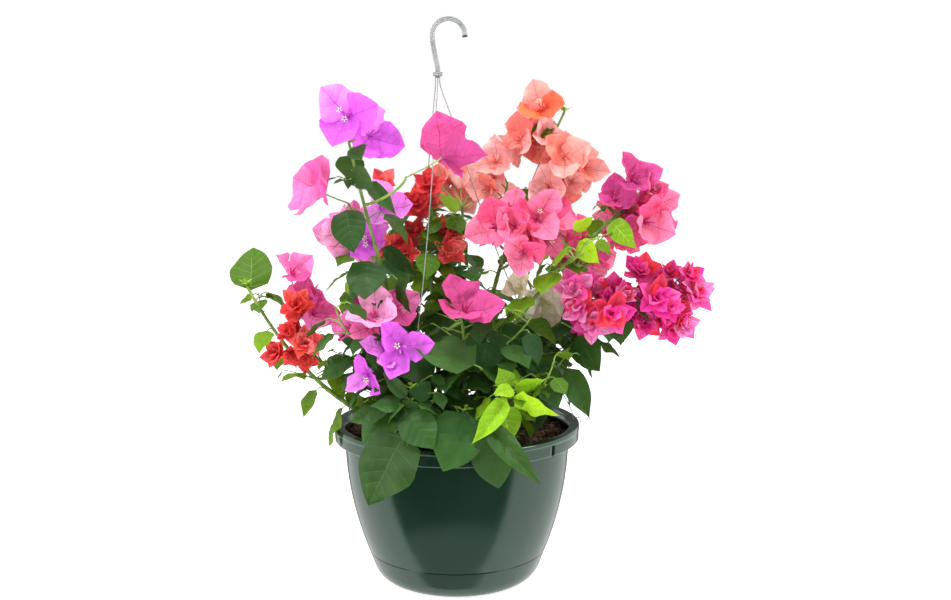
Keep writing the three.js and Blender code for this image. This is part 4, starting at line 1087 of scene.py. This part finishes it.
lip_gap = [(SHOULDER_RADIUS - 1.2, SHOULDER_HEIGHT - 3), (SHOULDER_RADIUS - 1.0, SHOULDER_HEIGHT + 1.5)]
turned("saucer_seam", lip_gap, pot_green, "pot", ["pot"])


def cut_slots(piece):
    """Two narrow upright slots through the skirt."""
    for i, turn in enumerate((SLOT_TURN, SLOT_TURN + 180)):
        bpy.ops.mesh.primitive_cube_add(size=1)
        cutter = bpy.context.object
        cutter.name = f"slot_cutter_{i}"
        angle = math.radians(turn)
        cutter.scale = (0.0022, 0.008, (SKIRT_DEPTH - 2 * WALL) / 1000)
        cutter.rotation_euler = (0, 0, angle)
        cutter.location = (heading(angle) * SKIRT_RADIUS + UP * (NECK + 5)) / 1000
        cut = piece.modifiers.new(f"slot_{i}", "BOOLEAN")
        cut.object = cutter
        cut.operation = "DIFFERENCE"
        bpy.context.view_layer.objects.active = piece
        bpy.ops.object.modifier_apply(modifier=cut.name)
        bpy.data.objects.remove(cutter)


CRUMBS = 2600
CHIP_SHARE = 0.12


def make_soil():
    """Crumbly peat: an uneven surface with loose crumbs and a few chips of bark on it."""
    pile = Pile()
    around, rows = 150, 46
    reach = body_radius(SOIL_HEIGHT) - WALL - 0.4
    points = []
    for i in range(rows):
        r = reach * (i + 0.4) / (rows - 0.6)
        for j in range(around):
            x, y, _ = heading(2 * math.pi * j / around) * r
            rise = 2.6 * unevenness(x / 9, y / 9, 3) + 1.6 * unevenness(x / 3.4, y / 3.4, 8)
            points.append((x, y, SOIL_HEIGHT + 1.6 + rise - 3 * (i == rows - 1)))
    pile.add(np.array(points), grid_faces(rows, around, closed=True), 0)
    cube = np.array([(x, y, z) for x in (-1, 1) for y in (-1, 1) for z in (-1, 1)], float)
    sides = [(0, 1, 3, 2), (4, 6, 7, 5), (0, 4, 5, 1), (2, 3, 7, 6), (0, 2, 6, 4), (1, 5, 7, 3)]
    for _ in range(CRUMBS):
        r, a = reach * math.sqrt(rng.uniform(0, 0.97)), rng.uniform(0, 6.3)
        size = rng.gamma(2.2, 0.55) + 0.5
        chip = rng.random() < CHIP_SHARE
        shape = cube * rng.uniform(0.5, 1.0, (8, 3)) * (size * (2.2 if chip else 1), size, size * 0.7)
        c, s = math.cos(a * 7), math.sin(a * 7)
        shape = shape @ np.array(((c, s, 0), (-s, c, 0.2), (0, 0, 1)))
        place = heading(a) * r + UP * (SOIL_HEIGHT + 2.2 + rng.uniform(-0.6, 1.4))
        pile.add(shape + place, sides, 1 + int(chip) + int(rng.random() < 0.3))
    tones = [
        plain_material("peat", "1d120b", "3c281a", 0.95, 500, 0.9, 0.001),
        plain_material("crumb", "2c1c12", "4a3322", 0.95, 600, 0.9, 0.001),
        plain_material("chip", "4b3423", "6e5138", 0.9, 500, 0.7, 0.0008),
        plain_material("pale_chip", "6a5136", "8e7550", 0.9, 500, 0.7, 0.0008),
    ]
    pile.make("soil_top", tones, "soil")


make_soil()
soil_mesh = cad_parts["soil"].data
soil_mesh.materials.clear()
soil_mesh.materials.append(plain_material("soil_body", "1d120b", "36251a", 0.95, 400, 0.9, 0.001))


def spline(points, steps):
    """The centripetal Catmull-Rom curve that the solids' wires follow."""
    points = [vec(p) for p in points]
    full = [2 * points[0] - points[1], *points, 2 * points[-1] - points[-2]]
    out = []
    for a, b, c, d in zip(full, full[1:], full[2:], full[3:]):
        first, middle, last = (max(np.linalg.norm(q - p), 1e-4) ** 0.5 for p, q in ((a, b), (b, c), (c, d)))
        start = ((b - a) / first - (c - a) / (first + middle) + (c - b) / middle) * middle
        end = ((c - b) / middle - (d - b) / (middle + last) + (d - c) / last) * middle
        for t in np.arange(steps) / steps:
            cubic = (3 * (c - b) - 2 * start - end) * t**2 + (2 * (b - c) + start + end) * t**3
            out.append(b + start * t + cubic)
    out.append(points[-1])
    return np.array(out)


def wire_line(index):
    """A hanger wire's line, from the ferrule through one eyelet, under the lip and out through the next."""
    turn = math.radians(WIRE_TURNS[index])
    after = turn - math.radians(EYELET_STEP)
    strand = (0, 1, -1)[index] * STRAND_SPACING
    start = CROWN + (strand, 0, -FERRULE_HEIGHT / 2 - GAP)
    eyelet = heading(turn) * EYELET_RADIUS + UP * POT_HEIGHT
    line = [start, start - UP * 6]
    for share in (0.12, 0.35, 0.6, 0.85):
        line.append(start + (eyelet - start) * share - heading(turn) * WIRE_BOW * math.sin(math.pi * share))
    for angle, radius, above in (
        (turn, EYELET_RADIUS, 5),
        (turn, EYELET_RADIUS, -3.4),
        ((turn + after) / 2, EYELET_RADIUS, -7),
        (after, EYELET_RADIUS, -3.4),
        (after, EYELET_RADIUS, 1),
        (after, EYELET_RADIUS + 3.4, 2.4),
        (after, RIM_RADIUS + 1.4, 0.6),
        (after, RIM_RADIUS + 1.6, -5),
    ):
        line.append(heading(angle) * radius + UP * (POT_HEIGHT + above))
    return line


def hook_line():
    half = STRAND_SPACING + WIRE_RADIUS
    centre = np.array((CROWN[0] + HOOK_RADIUS - 5.5, 0, HOOK_TOP - half - HOOK_RADIUS))
    arc = []
    for i in range(9):
        angle = math.radians(192 - i * 24.5)
        arc.append(centre + np.array((math.cos(angle), 0, math.sin(angle))) * HOOK_RADIUS)
    foot = [CROWN - UP * FERRULE_HEIGHT / 2, CROWN + UP * 6, CROWN + (-2.5, 0, 18)]
    return spline([*foot, *arc], 8)


def closed_tube(pile, line, radius):
    """A wire whose ends are closed by a small dome."""
    line = np.asarray(line)
    first, last = unit(line[0] - line[1]), unit(line[-1] - line[-2])
    line = np.concatenate([[line[0] + first * radius * 0.5], line, [line[-1] + last * radius * 0.5]])
    radii = np.full(len(line), radius)
    radii[[0, -1]] = radius * 0.3
    tube(pile, line, radii, sides=10, slot=0)


# The dark oval over the hook's end, which paints the shade inside the end's hollow: how far along each ring
# lies, and its share of the full size.
HOOK_END_SHADE = ((-1.4, 0.1), (-1.4, 0.9), (-1.0, 1), (0.3, 1), (0.7, 0.8), (0.8, 0.1))


def make_hook():
    """The hook: three strands side by side, with a dark oval on their end as painted shade of its hollow."""
    hook = Pile()
    middle = hook_line()
    runs = np.gradient(middle, axis=0)
    runs /= np.linalg.norm(runs, axis=1)[:, None]
    normals = np.stack([-runs[:, 2], 0 * runs[:, 0], runs[:, 0]], 1)
    for share in (-1, 0, 1):
        strand = middle + normals * STRAND_SPACING * SPACING_SHARE * share
        closed_tube(hook, np.concatenate([[strand[0] - UP * 0.8], strand]), WIRE_RADIUS * STRAND_SHARE)
    # A dark oval on the strands' end: painted shade of the hollow inside the hook's end.
    around = 16
    turns = np.arange(around) * 2 * math.pi / around
    oval = np.outer(np.cos(turns) * 2.8, normals[-1]) + np.outer(np.sin(turns) * 1.2, (0, 1, 0))
    end_shade = [middle[-1] + runs[-1] * along + oval * share for along, share in HOOK_END_SHADE]
    hook.add(np.concatenate(end_shade), grid_faces(len(end_shade), around, closed=True), 1)
    painted_end_shade = plain_material("painted_end_shade", "2a3630", "3c4a42", 0.5, 300, 0.2, 0.0003)
    hook.make("hook", [steel, painted_end_shade], "wire", ["hanger_hook"])


def steel_material():
    look = Look("galvanised_wire", 0.55, 0.15)
    look.dress({"Base Color": look.mottle(look.noise(60, 2), linear("828683"), linear("9da19e"))})
    return look.material


steel = steel_material()
for i in range(3):
    wire = Pile()
    closed_tube(wire, spline(wire_line(i), 7), WIRE_RADIUS * WIRE_SHARE)
    wire.make(f"wire_{i + 1}", [steel], "wire", [f"hanger_wire_{i + 1}"])
make_hook()
half = FERRULE_HEIGHT / 2 - 0.6
hole = STRAND_SPACING + WIRE_RADIUS + GAP + 0.3
sleeve = [(hole, -half), (FERRULE_RADIUS, -half), (FERRULE_RADIUS - 0.5, 0), (FERRULE_RADIUS, half)]
sleeve = rounded([*sleeve, (hole, half), (hole, -half)], 0.7)
turned("ferrule", sleeve, steel, "wire", ["hanger_ferrule"], 36, CROWN)

# The camera stands where the photograph's did.
camera = bpy.data.objects.new("camera", bpy.data.cameras.new("camera"))
bpy.context.scene.collection.objects.link(camera)
camera.location = CAMERA / 1000
camera.rotation_euler = (math.radians(90 - CAMERA_DROP), 0, math.radians(-CAMERA_TURN))
camera.data.sensor_width = 36
camera.data.lens = 36 * FOCAL_PIXELS / PHOTO_WIDTH
camera.data.clip_start = 0.05
bpy.context.scene.camera = camera


def add_light(name, place, target, size, power):
    lamp = bpy.data.lights.new(name, "AREA")
    lamp.shape = "RECTANGLE"
    lamp.size, lamp.size_y = size
    lamp.energy = power
    lit = bpy.data.objects.new(name, lamp)
    lit.location = place
    lit.rotation_euler = (Vector(target) - Vector(place)).to_track_quat("-Z", "Y").to_euler()
    bpy.context.scene.collection.objects.link(lit)
    return lit


add_light("softbox_left", (-1.7, -1.1, 1.3), (0, 0, 0.25), (0.9, 1.2), 37)
add_light("softbox_right", (1.8, -0.9, 1.2), (0, 0, 0.25), (0.9, 1.2), 20)
add_light("softbox_top", (-0.2, -0.5, 2.1), (0, 0, 0.2), (0.8, 0.8), 38)
front = add_light("fill_front", (0.3, -2.4, 1.1), (0, 0, 0.3), (1.2, 1.0), 14)
front.visible_glossy = False


def make_floor():
    """A white floor that glows a little, which no reflection shows."""
    bpy.ops.mesh.primitive_plane_add(size=12, location=(0, 0, -0.0003))
    floor = bpy.context.object
    floor.name = "floor"
    floor.visible_glossy = False
    look = Look("floor_white", 0.9, specular=0.1)
    white = look.mottle(look.noise(3, 2), (0.93, 0.93, 0.93, 1), (0.95, 0.95, 0.95, 1))
    look.dress({"Base Color": white, "Emission Color": (1, 1, 1, 1), "Emission Strength": 0.7})
    floor.data.materials.append(look.material)
    floor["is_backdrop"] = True


def make_room():
    """The room that the glossy pot reflects: white, dim straight behind the plant, and dark towards the
    camera, except at its pale bottom. It lights diffuse surfaces at half its strength, and the camera sees
    it white."""
    world = bpy.data.worlds.new("studio")
    bpy.context.scene.world = world
    room = Tree(world)
    x, y, z = room.parts(room.place("Generated"))
    slanting = room.math("MULTIPLY_ADD", x, 0.16, y)
    sides = room.span(slanting, -0.42, -0.28, 0.03, 1.12, "SMOOTHSTEP")
    behind = room.span(y, 0.8, 0.93, 1.0, 0.15, "SMOOTHSTEP")
    below = room.span(z, -0.72, -0.63, 0.4, 0.0, "SMOOTHSTEP")
    mirrored = room.math("MAXIMUM", room.math("MULTIPLY", sides, behind), below)
    path = room.nodes.new("ShaderNodeLightPath")
    dimmer = room.math("MULTIPLY_ADD", path.outputs["Is Diffuse Ray"], -0.5, 1.0)
    around = room.math("MULTIPLY", mirrored, dimmer)
    strength = room.math("MAXIMUM", path.outputs["Is Camera Ray"], around)
    room.feed(room.nodes["Background"].inputs, {"Strength": strength, "Color": (1, 1, 1, 1)})


make_floor()
make_room()
cut_slots(shell)
bpy.context.scene.view_settings.view_transform = "Standard"
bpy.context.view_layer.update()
triangles = sum(2 * len(o.data.polygons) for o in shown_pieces())
print("triangles about", triangles)
